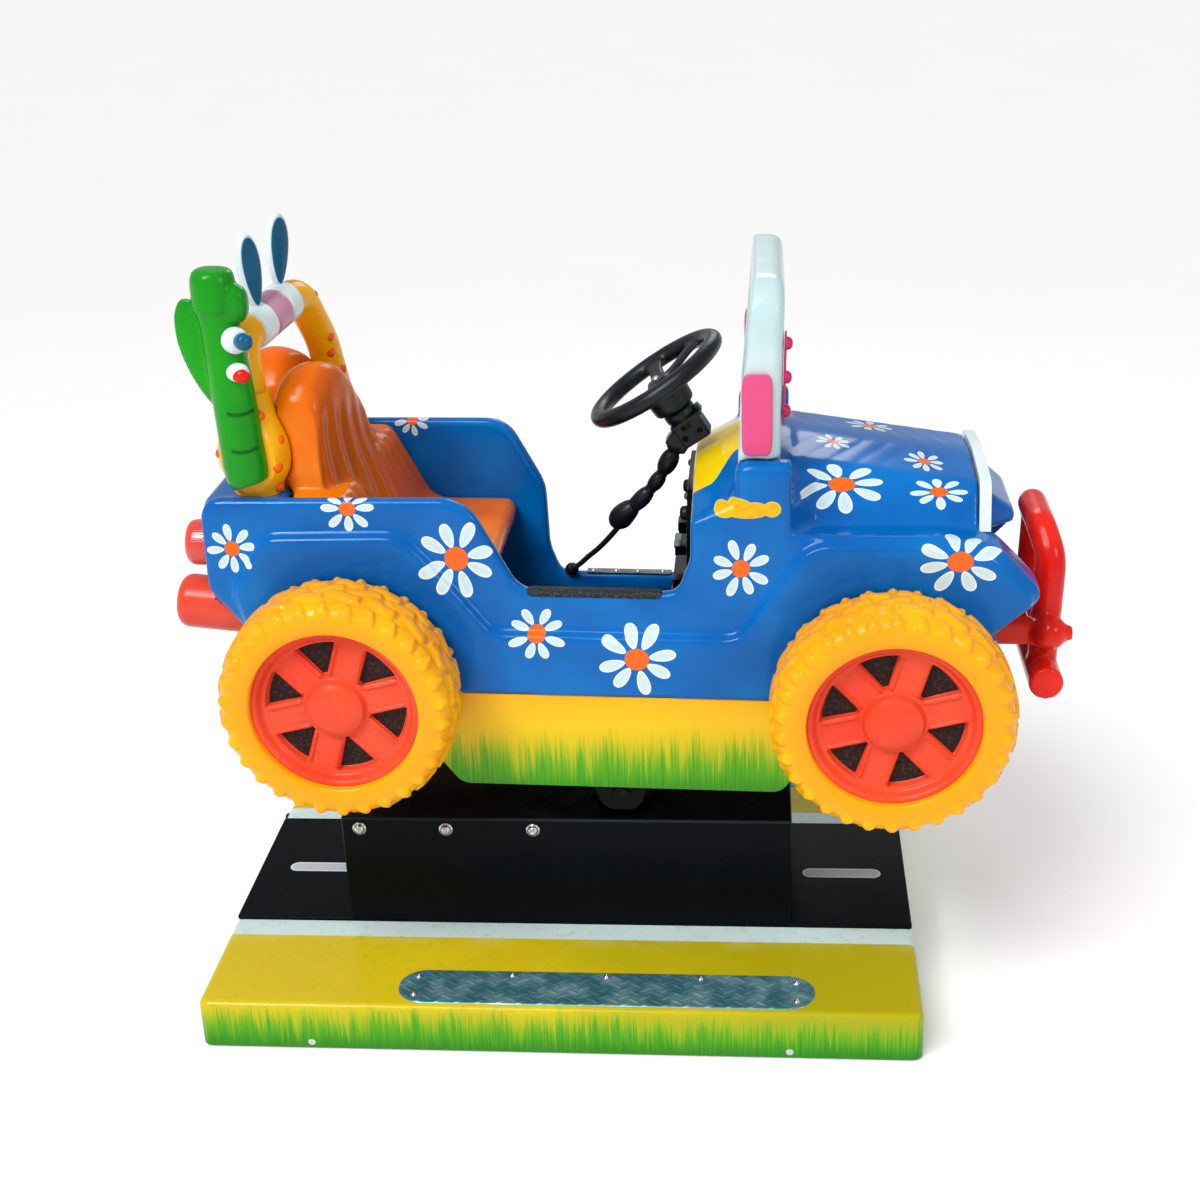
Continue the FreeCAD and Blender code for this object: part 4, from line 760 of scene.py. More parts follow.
plinth = {"yellow": (0.70, 0.52, 0.010), "deep": (0.64, 0.46, 0.008), "shadeOchre": (0.44, 0.35, 0.004),
          "grass": (0.035, 0.31, 0.004), "lime": (0.22, 0.41, 0.005), "darkGrass": (0.008, 0.19, 0.006),
          "white": (0.60, 0.74, 0.78), "faded": (0.62, 0.60, 0.22), "lineOut": 0.222, "edge": 0.088,
          "grassFrom": 0.004, "grassTo": 0.112}
road = {"tar": (0.0018, 0.0026, 0.0042), "deep": (0.0012, 0.0016, 0.0026), "grit": (0.012, 0.022, 0.032),
        "dash": (0.46, 0.52, 0.56), "dashEdge": (0.9, 0.92, 0.93), "half": 0.0145,
        "dashes": [(-0.541, -0.385), (0.413, 0.553)], "mid": -0.005}


def paintGrass(finish, base, low, high):
    # sprayed grass: height plus streaky noise, so that fine blades thin out into the colour above
    level = (finish.z - low) / (high - low)
    fine = finish.noise(1.0, 3.0, (330, 330, 10)) * 0.9 - 0.45
    broad = finish.noise(1.0, 3.0, (60, 60, 3)) * 0.7 - 0.35
    ragged = level + (fine + broad)
    tone = ragged.step(0.15, 0.62).mix(plinth["grass"], plinth["lime"])
    tone = (level + fine * 0.6).step(0.28, -0.02).mix(tone, plinth["darkGrass"])
    base = (level.step(0.95, 0.30) * 0.55).mix(base, plinth["lime"])
    return (ragged.step(0.74, 0.36) * 0.95).mix(base, tone)


def paintDeck(finish, base):
    # painted shade darkening the deck towards the front, faded beside the white line, grass up from the floor
    spread = abs(finish.y)
    # painted shade: the deck darkens to ochre towards its front end, broken up by uneven tone
    warm = finish.x * 0.55 + finish.noise(3.2, 5.0)
    base = warm.step(0.38, 0.85).mix(base, plinth["shadeOchre"])
    faded = finish.noise(24.0, 4.0).step(0.35, 0.75) * 0.35
    base = (spread.step(0.262, 0.218) * faded).mix(base, plinth["faded"])
    lineOut, edge = plinth["lineOut"], plinth["edge"]
    line = spread.step(lineOut + 0.0015, lineOut - 0.0015) * finish.z.step(edge - 0.05, edge - 0.045)
    base = line.mix(base, plinth["white"])
    return paintGrass(finish, base, plinth["grassFrom"], plinth["grassTo"])


def paintRoad(finish, base):
    # gritty tar and two round-ended dashes with pale edges
    x, y, half = finish.x, finish.y, road["half"]
    base = (finish.noise(260.0, 4.0).step(0.5, 0.75) * 0.3).mix(base, road["grit"])
    for start, end in road["dashes"]:
        nearest = x.math("MAXIMUM", start + half).math("MINIMUM", end - half)
        far = distance(x - nearest, y - road["mid"])
        base = far.step(half + 0.0012, half - 0.0008).mix(base, road["dash"])
        edge = far.step(half - 0.004, half - 0.001) * far.step(half + 0.0012, half)
        base = (edge * 0.6).mix(base, road["dashEdge"])
    return base


def steelBlack():
    # black powder coat on sheet steel: slow waves, dust on top, a painted highlight along the cover's top
    # edges
    finish = Finish("coverBlack", (0.0015, 0.002, 0.003), 0.28, shine=0.07)
    wayZ = finish.split("Normal")[2]
    dusty = finish.noise(7.0, 6.0).step(0.52, 0.8) * (wayZ.step(0.5, 0.9) * 0.3 + 0.05)
    base = dusty.mix((0.0015, 0.0022, 0.0038), (0.018, 0.024, 0.032))
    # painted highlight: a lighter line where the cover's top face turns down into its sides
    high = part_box("drive_cover")[1]
    edge = abs(finish.y).step(high.y - 0.005, high.y - 0.002) * abs(finish.z - high.z).step(0.005, 0.002)
    base = (edge * 0.6).mix(base, (0.03, 0.045, 0.055))
    finish.put({"Base Color": base, "Roughness": finish.noise(16.0, 5.0) * 0.22 + 0.16})
    finish.bumps((finish.noise(5.0, 2.0), 0.004), (finish.noise(350.0, 3.0), 0.00003))
    return finish.material


steel = {
    "bright": surface("brightSteel", (0.62, 0.64, 0.66), 0.22, metal=1.0, gloss=(300.0, 4.0, 0.2, 0.12),
                      bumps=[(900.0, 2.0, 0.00001)]),
    "black": steelBlack(),
    "frame": surface("frameSteel", (0.003, 0.003, 0.004), 0.42, (0.020, 0.013, 0.009),
                     (34.0, 6.0, 0.62, 0.78), bumps=[(120.0, 4.0, 0.00012)], shine=0.1),
    "dull": surface("dullSteel", (0.08, 0.11, 0.11), 0.4, (0.15, 0.19, 0.19), (40.0, 5.0, 0.4, 0.7),
                    (120.0, 4.0, 0.2, 0.3), metal=0.7)}
motorIron = surface("motorIron", (0.09, 0.10, 0.11), 0.5, (0.16, 0.15, 0.14), (30.0, 5.0, 0.4, 0.7),
                    bumps=[(140.0, 5.0, 0.0003)], metal=0.3)
dress(gelCoat("plinthPaint", plinth["yellow"], plinth["deep"], 0.3, 0.12, 0.0015, paintDeck), "base_deck")
dress(gelCoat("roadBlack", road["tar"], road["deep"], 0.42, 0.0, 0.0012, paintRoad, 0.06), "road_strip")
dress(steel["black"], "drive_cover", "floor_pan", "coin_unit")
dress(steel["frame"], "base_frame", "pivot_stand", "rocker_frame", "axles")
dress(motorIron, "gearmotor")
print("plinth finishes")

# stepping plates: obround tread plate with raised lozenges

plate = {"pitch": 0.0345, "squeeze": 0.62, "lean": 0.62, "lift": 0.0022, "long": 0.0125, "wide": 0.0030,
         "thick": 0.003, "across": 0.092, "rim": 0.004, "columns": 520, "rows": 64}


def plateHeight(x, y):
    # lozenges in two directions on a checkered lattice, each a rounded ridge
    p, q = plate["pitch"], plate["pitch"] * plate["squeeze"]
    total = np.zeros_like(x)
    for shift, lean in ((0, plate["lean"]), (0.5, -plate["lean"])):
        u = ((x / p + shift + 0.5) % 1 - 0.5) * p
        v = ((y / q + shift + 0.5) % 1 - 0.5) * q
        a = u * math.cos(lean) + v * math.sin(lean)
        b = -u * math.sin(lean) + v * math.cos(lean)
        total = np.maximum(total, 1 - (a / plate["long"]) ** 2 - (b / plate["wide"]) ** 2)
    return plate["lift"] * np.sqrt(np.clip(total, 0, 1))


def addStepPlates():
    low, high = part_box("step_plates")
    half, reach, mid = plate["across"] / 2, (high.x - low.x) / 2, (low.x + high.x) / 2
    halves = []
    for middle in (low.y + half, high.y - half):
        x = np.linspace(-reach, reach, plate["columns"])[:, None] * np.ones((1, plate["rows"]))
        over = np.clip(np.abs(x) - (reach - half), 0, half)
        width = np.sqrt(np.maximum(half ** 2 - over ** 2, 1e-10))
        y = np.linspace(-1, 1, plate["rows"])[None, :] * width
        border = np.minimum(half - np.hypot(over, np.abs(y)), plate["rim"]) / plate["rim"]
        lift = plateHeight(x, y) * smoothStep(0.35, 1.0, border)
        z = low.z + plate["thick"] * 0.55 + lift * 0.6
        top = np.stack([x + mid, y + middle, np.minimum(z, high.z)], -1)
        top[:, 0, 2] = top[:, -1, 2] = low.z
        top[0, :, 2] = top[-1, :, 2] = low.z
        halves.append(gridPiece("plateHalf", top))
    made = outward(joined("stepPlates", halves))
    faceUp(made, 2000)
    tread = surface("treadPlate", (0.07, 0.22, 0.28), 0.3, (0.22, 0.42, 0.48), (25.0, 6.0, 0.4, 0.7),
                    (70.0, 5.0, 0.25, 0.2), [(240.0, 4.0, 0.0001)], metal=0.55)
    place(made, "base", tread, "tread_plate", "step_plates")


addStepPlates()

# dome-headed bolts and screws

bolts = {"coverX": (-0.358, -0.206, -0.054), "coverZ": 0.279, "coverRadius": 0.0095,
         "deckX": (-0.411, 0.384), "deckZ": 0.0135, "deckSunk": 0.0003, "deckRadius": 0.0064,
         "deckTall": 0.14,
         "plateEdge": 0.046, "plateEnd": 0.03, "plateSunk": 0.0008, "plateRadius": 0.0042,
         "plateSpots": [(-1, 0.024), (-0.5, 0.032), (0, 0.032), (0.5, 0.032), (1, 0.024),
                        (-1, -0.026), (1, -0.026)]}  # share of the reach, distance off the middle line
domeProfile = [(1.25, 0.16), (1.0, 0.17), (0.96, 0.4), (0.78, 0.66), (0.5, 0.83), (0.36, 0.87), (0.33, 0.6)]


def domeHead(spot, way, radius, tall=1.0):
    # washer, dome and a small hexagon socket as one turned profile
    r = radius
    profile = [(0.001, -0.001), (r * 1.25, -0.001), (r * 1.3, r * 0.08)]
    profile += [(r * out, r * up) for out, up in domeProfile] + [(0.0001, r * 0.58)]
    grid = turnedGrid(np.array(profile) * [1, tall], spot, way, 20)
    return outward(gridPiece("bolt", grid, False, True, True))


def addBolts():
    # heads on the cover's sides, the deck's edges and the tread plates
    coverLow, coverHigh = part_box("drive_cover")
    deckLow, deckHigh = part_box("base_deck")
    plateLow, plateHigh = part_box("step_plates")
    mid = (plateLow.x + plateHigh.x) / 2
    reach = (plateHigh.x - plateLow.x) / 2 - bolts["plateEnd"]
    lines = (plateLow.y + bolts["plateEdge"], plateHigh.y - bolts["plateEdge"])
    faces, edges = (coverLow.y, coverHigh.y), (deckLow.y, deckHigh.y)
    heads = []
    for side, face, edge, line in zip((-1, 1), faces, edges, lines):
        way = (0, side, 0)
        for x in bolts["coverX"]:
            heads.append(domeHead((x, face, bolts["coverZ"]), way, bolts["coverRadius"]))
        for x in bolts["deckX"]:
            spot = (x, edge - side * bolts["deckSunk"], bolts["deckZ"])
            heads.append(domeHead(spot, way, bolts["deckRadius"], bolts["deckTall"]))
        for share, off in bolts["plateSpots"]:
            spot = (mid + share * reach, line + off, plateHigh.z - bolts["plateSunk"])
            heads.append(domeHead(spot, (0, 0, 1), bolts["plateRadius"]))
    assemble("plinthBolts", heads, steel["bright"], "tread_plate", body="base")


addBolts()
print("tread plates and bolts")

# finishes of the small parts

tones = {"red": ((0.76, 0.020, 0.008), (0.60, 0.006, 0.004)),
         "yellow": ((0.92, 0.47, 0.004), (0.88, 0.34, 0.003)),
         "green": ((0.010, 0.36, 0.006), (0.004, 0.24, 0.006)),
         "mint": ((0.55, 0.69, 0.70), (0.46, 0.62, 0.64)),
         "pink": ((0.66, 0.075, 0.21), (0.60, 0.050, 0.17)),
         "magenta": ((0.50, 0.02, 0.11), (0.38, 0.01, 0.07)),
         "white": ((0.70, 0.79, 0.81), (0.62, 0.73, 0.77)),
         "orange": ((0.86, 0.14, 0.006), (0.76, 0.09, 0.004)),
         "sky": ((0.006, 0.12, 0.24), (0.004, 0.09, 0.19)),
         "rose": ((0.56, 0.27, 0.38), (0.48, 0.19, 0.30)),
         "coral": ((0.76, 0.085, 0.045), (0.66, 0.045, 0.025))}
coats = {name: gelCoat("coat" + name.title(), *pair) for name, pair in tones.items()}
black = surface("plasticBlack", (0.004, 0.006, 0.009), 0.36, (0.008, 0.015, 0.0205), (14.0, 4.0, 0.5, 0.75),
                (60.0, 5.0, 0.2, 0.24), [(900.0, 3.0, 0.00005), (40.0, 3.0, 0.0002)])

# seat

seat = {"voxel": 0.0055, "rounds": 7, "pitch": 0.036, "depth": 0.0045,
        "orange": (0.80, 0.20, 0.0005), "deep": (0.72, 0.12, 0.0005),
        "shade": (0.50, 0.085, 0.006), "streak": (0.26, 0.06, 0.02)}


def paintSeat(finish, base):
    # painted shade on the front of the back rest, the face turned from the light, with upright streaks
    front = finish.split("Normal")[0].step(0.15, 0.6) * finish.z.step(0.76, 0.80)
    base = (front * 0.75).mix(base, seat["shade"])
    streak = finish.noise(1.0, 3.0, (9, 60, 3)).step(0.5, 0.7)
    return (front * streak * 0.35).mix(base, seat["streak"])


def addSeat():
    # channels pressed into the front of the back rest
    piece = melted("seatMoulding", [frame["nodes"]["seat"]], seat["voxel"], seat["rounds"])
    mesh = piece.data
    co, way = np.empty(len(mesh.vertices) * 3), np.empty(len(mesh.vertices) * 3)
    mesh.vertices.foreach_get("co", co)
    mesh.vertex_normals.foreach_get("vector", way)
    co, way = co.reshape(-1, 3), way.reshape(-1, 3)
    y, z = co[:, 1], co[:, 2]
    front = smoothStep(0.35, 0.75, way[:, 0]) * smoothStep(0.79, 0.86, z) * smoothStep(1.06, 0.98, z)
    wave = 0.5 - 0.5 * np.cos(fullTurn * (y + 0.06 * (z - 0.8)) / seat["pitch"])
    co = co - way * (front * wave * seat["depth"])[:, None]
    mesh.vertices.foreach_set("co", co.ravel())
    mesh.update()
    finish = gelCoat("seatOrange", seat["orange"], seat["deep"], 0.2, 0.06, 0.0008, paintSeat)
    place(piece, "car", finish, "seat_orange", "seat")


addSeat()
print("seat")

# hoop with raised spots, collar with ears

hoop = {"near": (-503, -124, 1124), "far": (-452, 58, 1158), "radius": 28, "spot": 9.0, "trunkY": -160,
        "spots": [  # centre of the bar, way out of it
            ((-431, 110, 1068), (0.8, -0.6, 0.1)), ((-427, 118, 1042), (0.6, -0.75, 0)),
            ((-421, 128, 1008), (0.85, -0.45, 0)), ((-416, 138, 962), (0.8, -0.6, 0)),
            ((-416, 140, 925), (0.3, -0.95, 0)), ((-438, 96, 1092), (0.2, -0.8, 0.5)),
            ((-433, 108, 1072), (-0.6, 0.5, 0.3)), ((-418, 134, 985), (-0.5, 0.8, 0)),
            ((-452, 70, 1140), (0.9, 0.1, 0.3))],
        "trunkSpots": [  # x of the trunk's middle, way out of it in x and y, z, radius of the trunk
            (-483, 0.55, -0.83, 1018, 41), (-484, 0.93, -0.36, 975, 54), (-484, 0.80, -0.60, 934, 59),
            (-482, 0.90, -0.43, 896, 46), (-484, -0.95, -0.3, 950, 59), (-484, -0.2, 0.97, 960, 59),
            (-484, -0.7, 0.7, 915, 55)]}
collar = {"start": 32, "long": 122, "inner": 27.5, "outer": 31.6, "swell": 3.2,
          "bands": [(0.0, 0.33, "white"), (0.33, 0.72, "rose"), (0.72, 1.0, "white")],
          "ears": ((16, -5), (106, 3)), "earRise": 89, "earTurn": 58, "earHalf": (26, 19, 62), "earFlat": 7.5,
          "faceHalf": (21.5, 3.0, 54)}


def addHoop():
    # balls half sunk in the hoop: its middle line plus the way out times its radius
    dress(coats["yellow"], "roll_hoop")
    size = (hoop["spot"],) * 3
    spots = []
    for middle, way in hoop["spots"]:
        way = np.array(way) / np.linalg.norm(way)
        spots.append(np.array(middle) + way * (hoop["radius"] - 4))
    for x, alongX, alongY, z, reach in hoop["trunkSpots"]:
        spots.append((x + alongX * (reach - 5), hoop["trunkY"] + alongY * (reach - 5), z))
    balls = [("ball", spot, size, 12, 20) for spot in spots]
    assemble("hoopSpots", balls, coats["orange"], "seat_orange")


def earGrids(middle, turn, lean):
    # an ellipsoid, fuller above than below, cut flat in front, and a shallow oval set on the flat
    c, s = math.cos(turn), math.sin(turn)
    turnAll = tilted(-lean) @ np.array([[c, -s, 0], [s, c, 0], [0, 0, 1]])

    def shaped(half, push, rows, sides):
        unit = ballGrid((0, 0, 0), (1, 1, 1), rows, sides)
        full = 0.84 + 0.2 * unit[..., 2:3]
        local = unit * np.asarray(half, float) * np.concatenate([full, full, np.ones_like(full)], -1)
        local[..., 1] = np.maximum(local[..., 1], -collar["earFlat"]) + push
        return np.asarray(middle, float) + local @ turnAll.T
    return shaped(collar["earHalf"], 0, 40, 56), shaped(collar["faceHalf"], -collar["earFlat"], 28, 36)


def addCollar():
    # three bands turned about the line from near to far, each a flat eighth-power swell, and two ears
    near, far = np.array(hoop["near"], float), np.array(hoop["far"], float)
    along = (far - near) / np.linalg.norm(far - near)
    start, long, inner = near + along * collar["start"], collar["long"], collar["inner"]
    t = np.linspace(0, 1, 16)
    swell = collar["outer"] + collar["swell"] * np.sqrt(np.clip(1 - (2 * t - 1) ** 8, 0, 1))
    made = {"white": [], "rose": []}
    for low, high, tone in collar["bands"]:
        profile = [(inner, low * long), *zip(swell, (low + (high - low) * t) * long), (inner, high * long)]
        made[tone].append(("turned", profile, start, along, 48))
    faces = []
    for reach, lean in collar["ears"]:
        foot = start + along * reach + np.array([0, 0, collar["earRise"]])
        shell, face = earGrids(foot, math.radians(collar["earTurn"]), math.radians(lean))
        made["white"].append(("grid", shell))
        faces.append(("grid", face))
    assemble("collarWhite", made["white"], coats["white"], "pale_white", "hoop_collar")
    assemble("collarBand", made["rose"], coats["rose"], "trim_pink")
    assemble("earFaces", faces, coats["sky"], "face_blue")


addHoop()
addCollar()
print("hoop and collar")

# upright green figure with ringed knobs

figure = {"path": [(-486, -200, 910), (-487, -200, 915), (-490, -200, 944), (-496, -199, 1022),
                   (-503, -198, 1100), (-509, -197, 1160), (-513, -196, 1186), (-514, -196, 1196),
                   (-516, -196, 1236), (-517, -196, 1250), (-517, -196, 1254)],
          "radius": [24, 33, 35.5, 34.5, 33, 31, 32, 36.5, 34.5, 29, 12],
          "fin": (-542, -194, 1116), "finHalf": (30, 8, 95), "finBow": 7, "finLean": 14,
          "snout": ("block", (-487, -202, 1200), (26, 20, 31), None, 0.75), "voxel": 0.0035, "rounds": 5,
          "creases": (1.046, 0.986), "creaseX": -0.465, "creaseBow": 9.0,
          "dark": (0.002, 0.10, 0.004), "creaseShade": (0.001, 0.05, 0.003),
          "rings": [("turned", [(0.1, -2), (20, -2), (21, 3), (20.4, 9), (16.5, 15), (9, 18.5), (0.1, 19.5)],
                     (-483, -219, 1148), (0.42, -0.90, 0.05), 40),
                    ("ball", (-481, -224, 1098), (18, 15, 15), 24, 36)],
          "blue": [("turned", [(0.1, -2), (13, -2), (13.6, 8), (13, 12), (10.5, 16), (5.5, 18.5), (0.1, 19)],
                    (-468, -231, 1149), (0.66, -0.74, 0.10), 36)],
          "red": [("ball", (-473, -234, 1095), (14, 9, 11), 18, 28)]}


def paintFigure(finish, base):
    # mottled, with thin arcs of painted shade on the near face where its creases shade: the distance from a
    # parabola, faded at its ends
    dark = finish.noise(12.0, 4.0).step(0.45, 0.7)
    base = (dark * 0.4).mix(base, figure["dark"])
    side = finish.x - figure["creaseX"]
    near = abs(side).step(0.022, 0.016) * finish.y.step(-0.205, -0.21)
    # painted shade along each crease
    for height in figure["creases"]:
        off = abs(finish.z - height - side * side * figure["creaseBow"])
        base = (off.step(0.0048, 0.0014) * near * 0.8).mix(base, figure["creaseShade"])
    return base


def finGrid():
    # long leaf on the figure's back: an ellipsoid whose width swells towards its top
    unit = ballGrid((0, 0, 0), (1, 1, 1), 36, 30)
    half = np.array(figure["finHalf"], float)
    local = unit * half
    local[..., 0] *= 0.88 + 0.26 * unit[..., 2]
    local[..., 0] -= figure["finBow"] * (1 - (local[..., 2] / half[2]) ** 2)
    return np.array(figure["fin"], float) + local @ tilted(math.radians(figure["finLean"])).T


def addFigure():
    # an upright tube of changing radius, a leaf and a rounded block melted together, with knobs
    t = np.linspace(0, len(figure["path"]) - 1, 90)
    radius = np.interp(t, range(len(figure["radius"])), figure["radius"])
    stalk = tubeGrid(pathPoints(figure["path"], 90), radius, None, 44, (0, 1, 0))
    parts = [("grid", stalk), ("grid", finGrid()), figure["snout"]]
    green = gelCoat("figureGreen", *tones["green"], 0.24, paint=paintFigure)
    moulding = melted("postFigure", parts, figure["voxel"], figure["rounds"])
    place(moulding, "car", green, "figure_green", "post_figure")
    assemble("knobRings", figure["rings"], coats["white"], "pale_white", "figure_face")
    assemble("knobBlue", figure["blue"], coats["sky"], "face_blue")
    assemble("knobRed", figure["red"], coats["red"], "red_plastic")


addFigure()
print("figure")

# windshield frame and trim

trim = {"padMiddle": (316, 211, 1036), "padHalf": (23.5, 7.0, 64), "padLean": 0.02,
        "strip": ("block", (356.5, -182, 1088), (2.0, 9, 72), None, 0.3),
        "knobsAt": [(358, -184, 1036), (358, -184, 1089), (358, -184, 1142)],
        "knob": [(10, -3), (10.3, 1), (9.3, 5), (6.5, 8), (3.3, 9.3), (0.1, 9.6)]}


def addWindshield():
    # the frame softened, a leaning block on each side, and a row of turned knobs
    moulding = melted("windshieldMoulding", [frame["nodes"]["windshield_frame"]], 0.004, 18)
    place(moulding, "car", coats["mint"], "pale_mint", "windshield_frame")
    x, y, z = trim["padMiddle"]
    lean = tilted(trim["padLean"])
    pads = [("block", (x, side * y, z), trim["padHalf"], lean, 0.3, 40, 72) for side in (-1, 1)]
    assemble("trimPads", pads, coats["pink"], "trim_pink", "windshield_trim")
    knobs = [("turned", trim["knob"], spot, (1, 0, 0), 32) for spot in trim["knobsAt"]]
    assemble("trimKnobs", [trim["strip"], *knobs], coats["magenta"], "trim_pink")
    dress(coats["white"], "grille_frame")


addWindshield()
print("windshield")

# steering wheel, column and loom

steering = {"middle": (150, 0, 1032), "tilt": 34, "ring": 112, "tube": 15, "spokeTurns": (-6, 47, 200),
            "dish": 9, "plate": 5.5, "voxel": 0.003, "rounds": 3,
            "hub": [(0.1, -2), (17, -2), (20, -5), (22, -12), (28, -18), (36, -23), (38, -28),
                    (37.5, -40), (36, -41), (36, -43), (37, -44), (36, -56), (33, -60), (9, -60.5),
                    (9, -100), (0.1, -100)],
            "sleeve": [(10, -63), (25, -63), (27, -65), (27, -76), (25.5, -78), (25.5, -96), (10, -98)],
            "clamps": [  # down the shaft, ahead of it, half sizes, sharpness
                (103, 3, (25, 24, 22), 0.16), (84, 4, (29, 26, 3.5), 0.2), (79, 30, (4, 10, 7), 0.3)],
            "arm": ("block", (190, 0, 928), (19, 17, 17), tilted(math.radians(-32)), 0.22)}
loom = {"beads": [((187, 0, 922), 19), ((171, 3, 887), 16), ((151, 8, 850), 13), ((125, 14, 816), 14.5),
                  ((90, 26, 778), 20.5)], "core": 5.5, "neck": 10.0, "long": (0.52, 0.62, 0.50, 0.62, 0.78),
        "gland": [(5.2, 2), (8, 1), (9, 3), (9, 9), (12, 10), (12.5, 14), (12, 20), (9, 22), (5, 22)]}


def steeringFrame():
    # middle, then up, across and ahead, turned back about the car's width by the tilt
    tilt = math.radians(steering["tilt"])
    up = np.array([-math.sin(tilt), 0, math.cos(tilt)])
    ahead = np.array([up[2], 0, -up[0]])
    return np.array(steering["middle"], float), up, np.array([0, 1.0, 0]), ahead


def addSteeringWheel():
    # a ring of elliptic section, spokes that sink by the dish towards the hub, and a turned hub
    middle, up, across, ahead = steeringFrame()
    turn = roundTurn(120)[:, None]
    out = across * np.cos(turn) + ahead * np.sin(turn)
    section = roundTurn(28)[None, :, None]
    ring = np.cos(section) * out[:, None] + 0.94 * np.sin(section) * up
    ring = (middle + steering["ring"] * out)[:, None] + steering["tube"] * ring
    parts = [outward(gridPiece("ring", toRow(ring), True, True))]
    t = np.linspace(0, 1, 28)
    reach = (8 + (steering["ring"] - 12) * t)[:, None]
    dish = (steering["dish"] * (1 - smoothStep(0.2, 0.95, t)))[:, None]
    wide = 13.5 + 9 * smoothStep(0.45, 1.0, t) ** 2 + 4 * smoothStep(0.3, 0.0, t)
    for degrees in steering["spokeTurns"]:
        angle = math.radians(degrees)
        way = across * math.cos(angle) + ahead * math.sin(angle)
        path = middle + way * reach - up * dish
        parts.append(("tube", path, wide, steering["plate"], 24, up))
    parts.append(("turned", steering["hub"], middle, up, 48))
    wheel = melted("steeringWheel", parts, steering["voxel"], steering["rounds"])
    place(wheel, "steering", black, "black_plastic", "steering_wheel")
    nut = domeHead(toRow(middle - up * 1.5), (0, 0, 1), 0.0055)
    nut.name = "hubNut"
    place(nut, "steering", steel["bright"], "tread_plate")


def addColumn():
    # a turned sleeve and rounded blocks set down along the wheel's own axis
    middle, up, across, ahead = steeringFrame()
    turn = np.stack([ahead, across, up], -1)
    parts = [("turned", steering["sleeve"], middle, up, 48)]
    for down, forth, half, sharp in steering["clamps"]:
        parts.append(("block", middle - up * down + ahead * forth, half, turn, sharp))
    assemble("steeringColumn", [*parts, steering["arm"]], black, "black_plastic", "steering_column")
    spots = [middle - up * 108 + ahead * k + across * -23.5 for k in (-12, 16)]
    heads = [domeHead(toRow(spot), (0, -1, 0), 0.004) for spot in spots]
    assemble("clampBolts", heads, steel["frame"], "tread_plate")


def addLoom():
    # the swellings along the path: a bell for each bead over a thin neck
    spots = np.array([b[0] for b in loom["beads"]] + [cord["route"][0]], float)
    last = len(spots) - 1
    count = 34 * last
    t = np.linspace(0, last, count)
    radius = np.maximum(loom["core"], loom["neck"] * (t < last - 0.7))
    for i, (bead, half) in enumerate(zip(loom["beads"], loom["long"])):
        bell = np.sqrt(np.clip(1 - ((t - i) / half) ** 2, 0, 1))
        radius = np.maximum(radius, bead[1] * bell ** 0.8)
    radius[0] = radius[-1] = 0.3
    beads = ("tube", pathPoints(spots, count), radius, None, 28, (0, 1, 0))
    end, before = np.array(cord["route"][-1]), np.array(cord["route"][-2])
    gland = ("turned", loom["gland"], end, end - before, 24)
    assemble("cableFittings", [beads, gland], black, "black_plastic", "cable_fittings")


addSteeringWheel()
addColumn()
addLoom()
print("steering and loom")

# tail lamps, headlamps, bumper, coin unit, sill trims

lamps = {"tail": (-566, 152, 788), "head": (678, 78, 766),
         "tailProfile": [(20, 1), (37.5, 1), (38, 4), (38, 30), (36.5, 38), (33, 42.5), (31, 41), (29, 42),
                         (24, 45.5), (16, 47.3), (8, 47.9), (0.1, 48)],
         "bezel": [(20, 1), (36, 1), (36, 12), (34, 17), (31, 18), (29, 16), (29, 8), (20, 8)],
         "glass": [(29, 8), (28.5, 15), (24, 20), (16, 23.5), (8, 25.3), (0.1, 26)]}


def lens(name, colour, ribs):
    # coloured clear plastic with rings pressed in behind the skin
    finish = Finish(name, colour, 0.08, 0.0, 0.6)
    ring = (finish.z * (900.0 * ribs)).math("SINE")
    finish.put({"Base Color": (ring * 0.2 + 0.2).mix(colour, tuple(c * 0.55 for c in colour))})
    finish.bumps((ring, 0.0001), (finish.noise(20.0), 0.0002))
    return finish.material


def lampPair(profile, spot, facing):
    # one profile turned about the car's length, on both sides
    x, y, z = lamps[spot]
    return [("turned", lamps[profile], (x, side * y, z), (facing, 0, 0), 56) for side in (-1, 1)]


def addLamps():
    red, pale = lens("tailLens", (0.74, 0.060, 0.040), 2.2), lens("headLens", (0.86, 0.80, 0.55), 1.6)
    assemble("tailLamps", lampPair("tailProfile", "tail", -1), red, "red_plastic", "tail_lamps")
    assemble("lampBezels", lampPair("bezel", "head", 1), coats["white"], "lamp_lens", "headlamps")
    assemble("lampLenses", lampPair("glass", "head", 1), pale, "lamp_lens")


def addBumper():
    bar = melted("bumperBar", [frame["nodes"]["bull_bar"]], 0.0045, 5)
    place(bar, "car", coats["red"], "red_plastic", "bull_bar")
    dress(coats["coral"], "exhausts")


coin = {"blocks": [("block", (206, 0, 822), (2.5, 40, 26), None, 0.2),
                   ("block", (194, 0, 778), (6, 20, 8), None, 0.25),
                   ("block", (188, 0, 747), (6, 30, 3), None, 0.25)],
        "bolts": [(206, -84, 722), (206, -84, 858), (206, 84, 722), (206, 84, 858)], "boltRadius": 0.006,
        "lock": ("turned", [(0.1, 8), (6, 8), (9, 6), (9.5, 0)], (184, 38, 640), (-1, 0, 0), 28),
        "button": [(0.1, 13), (8, 12), (11, 9), (12, 3), (12, 0)],
        "buttonsAt": ((206, -66, 822), (206, 66, 822))}


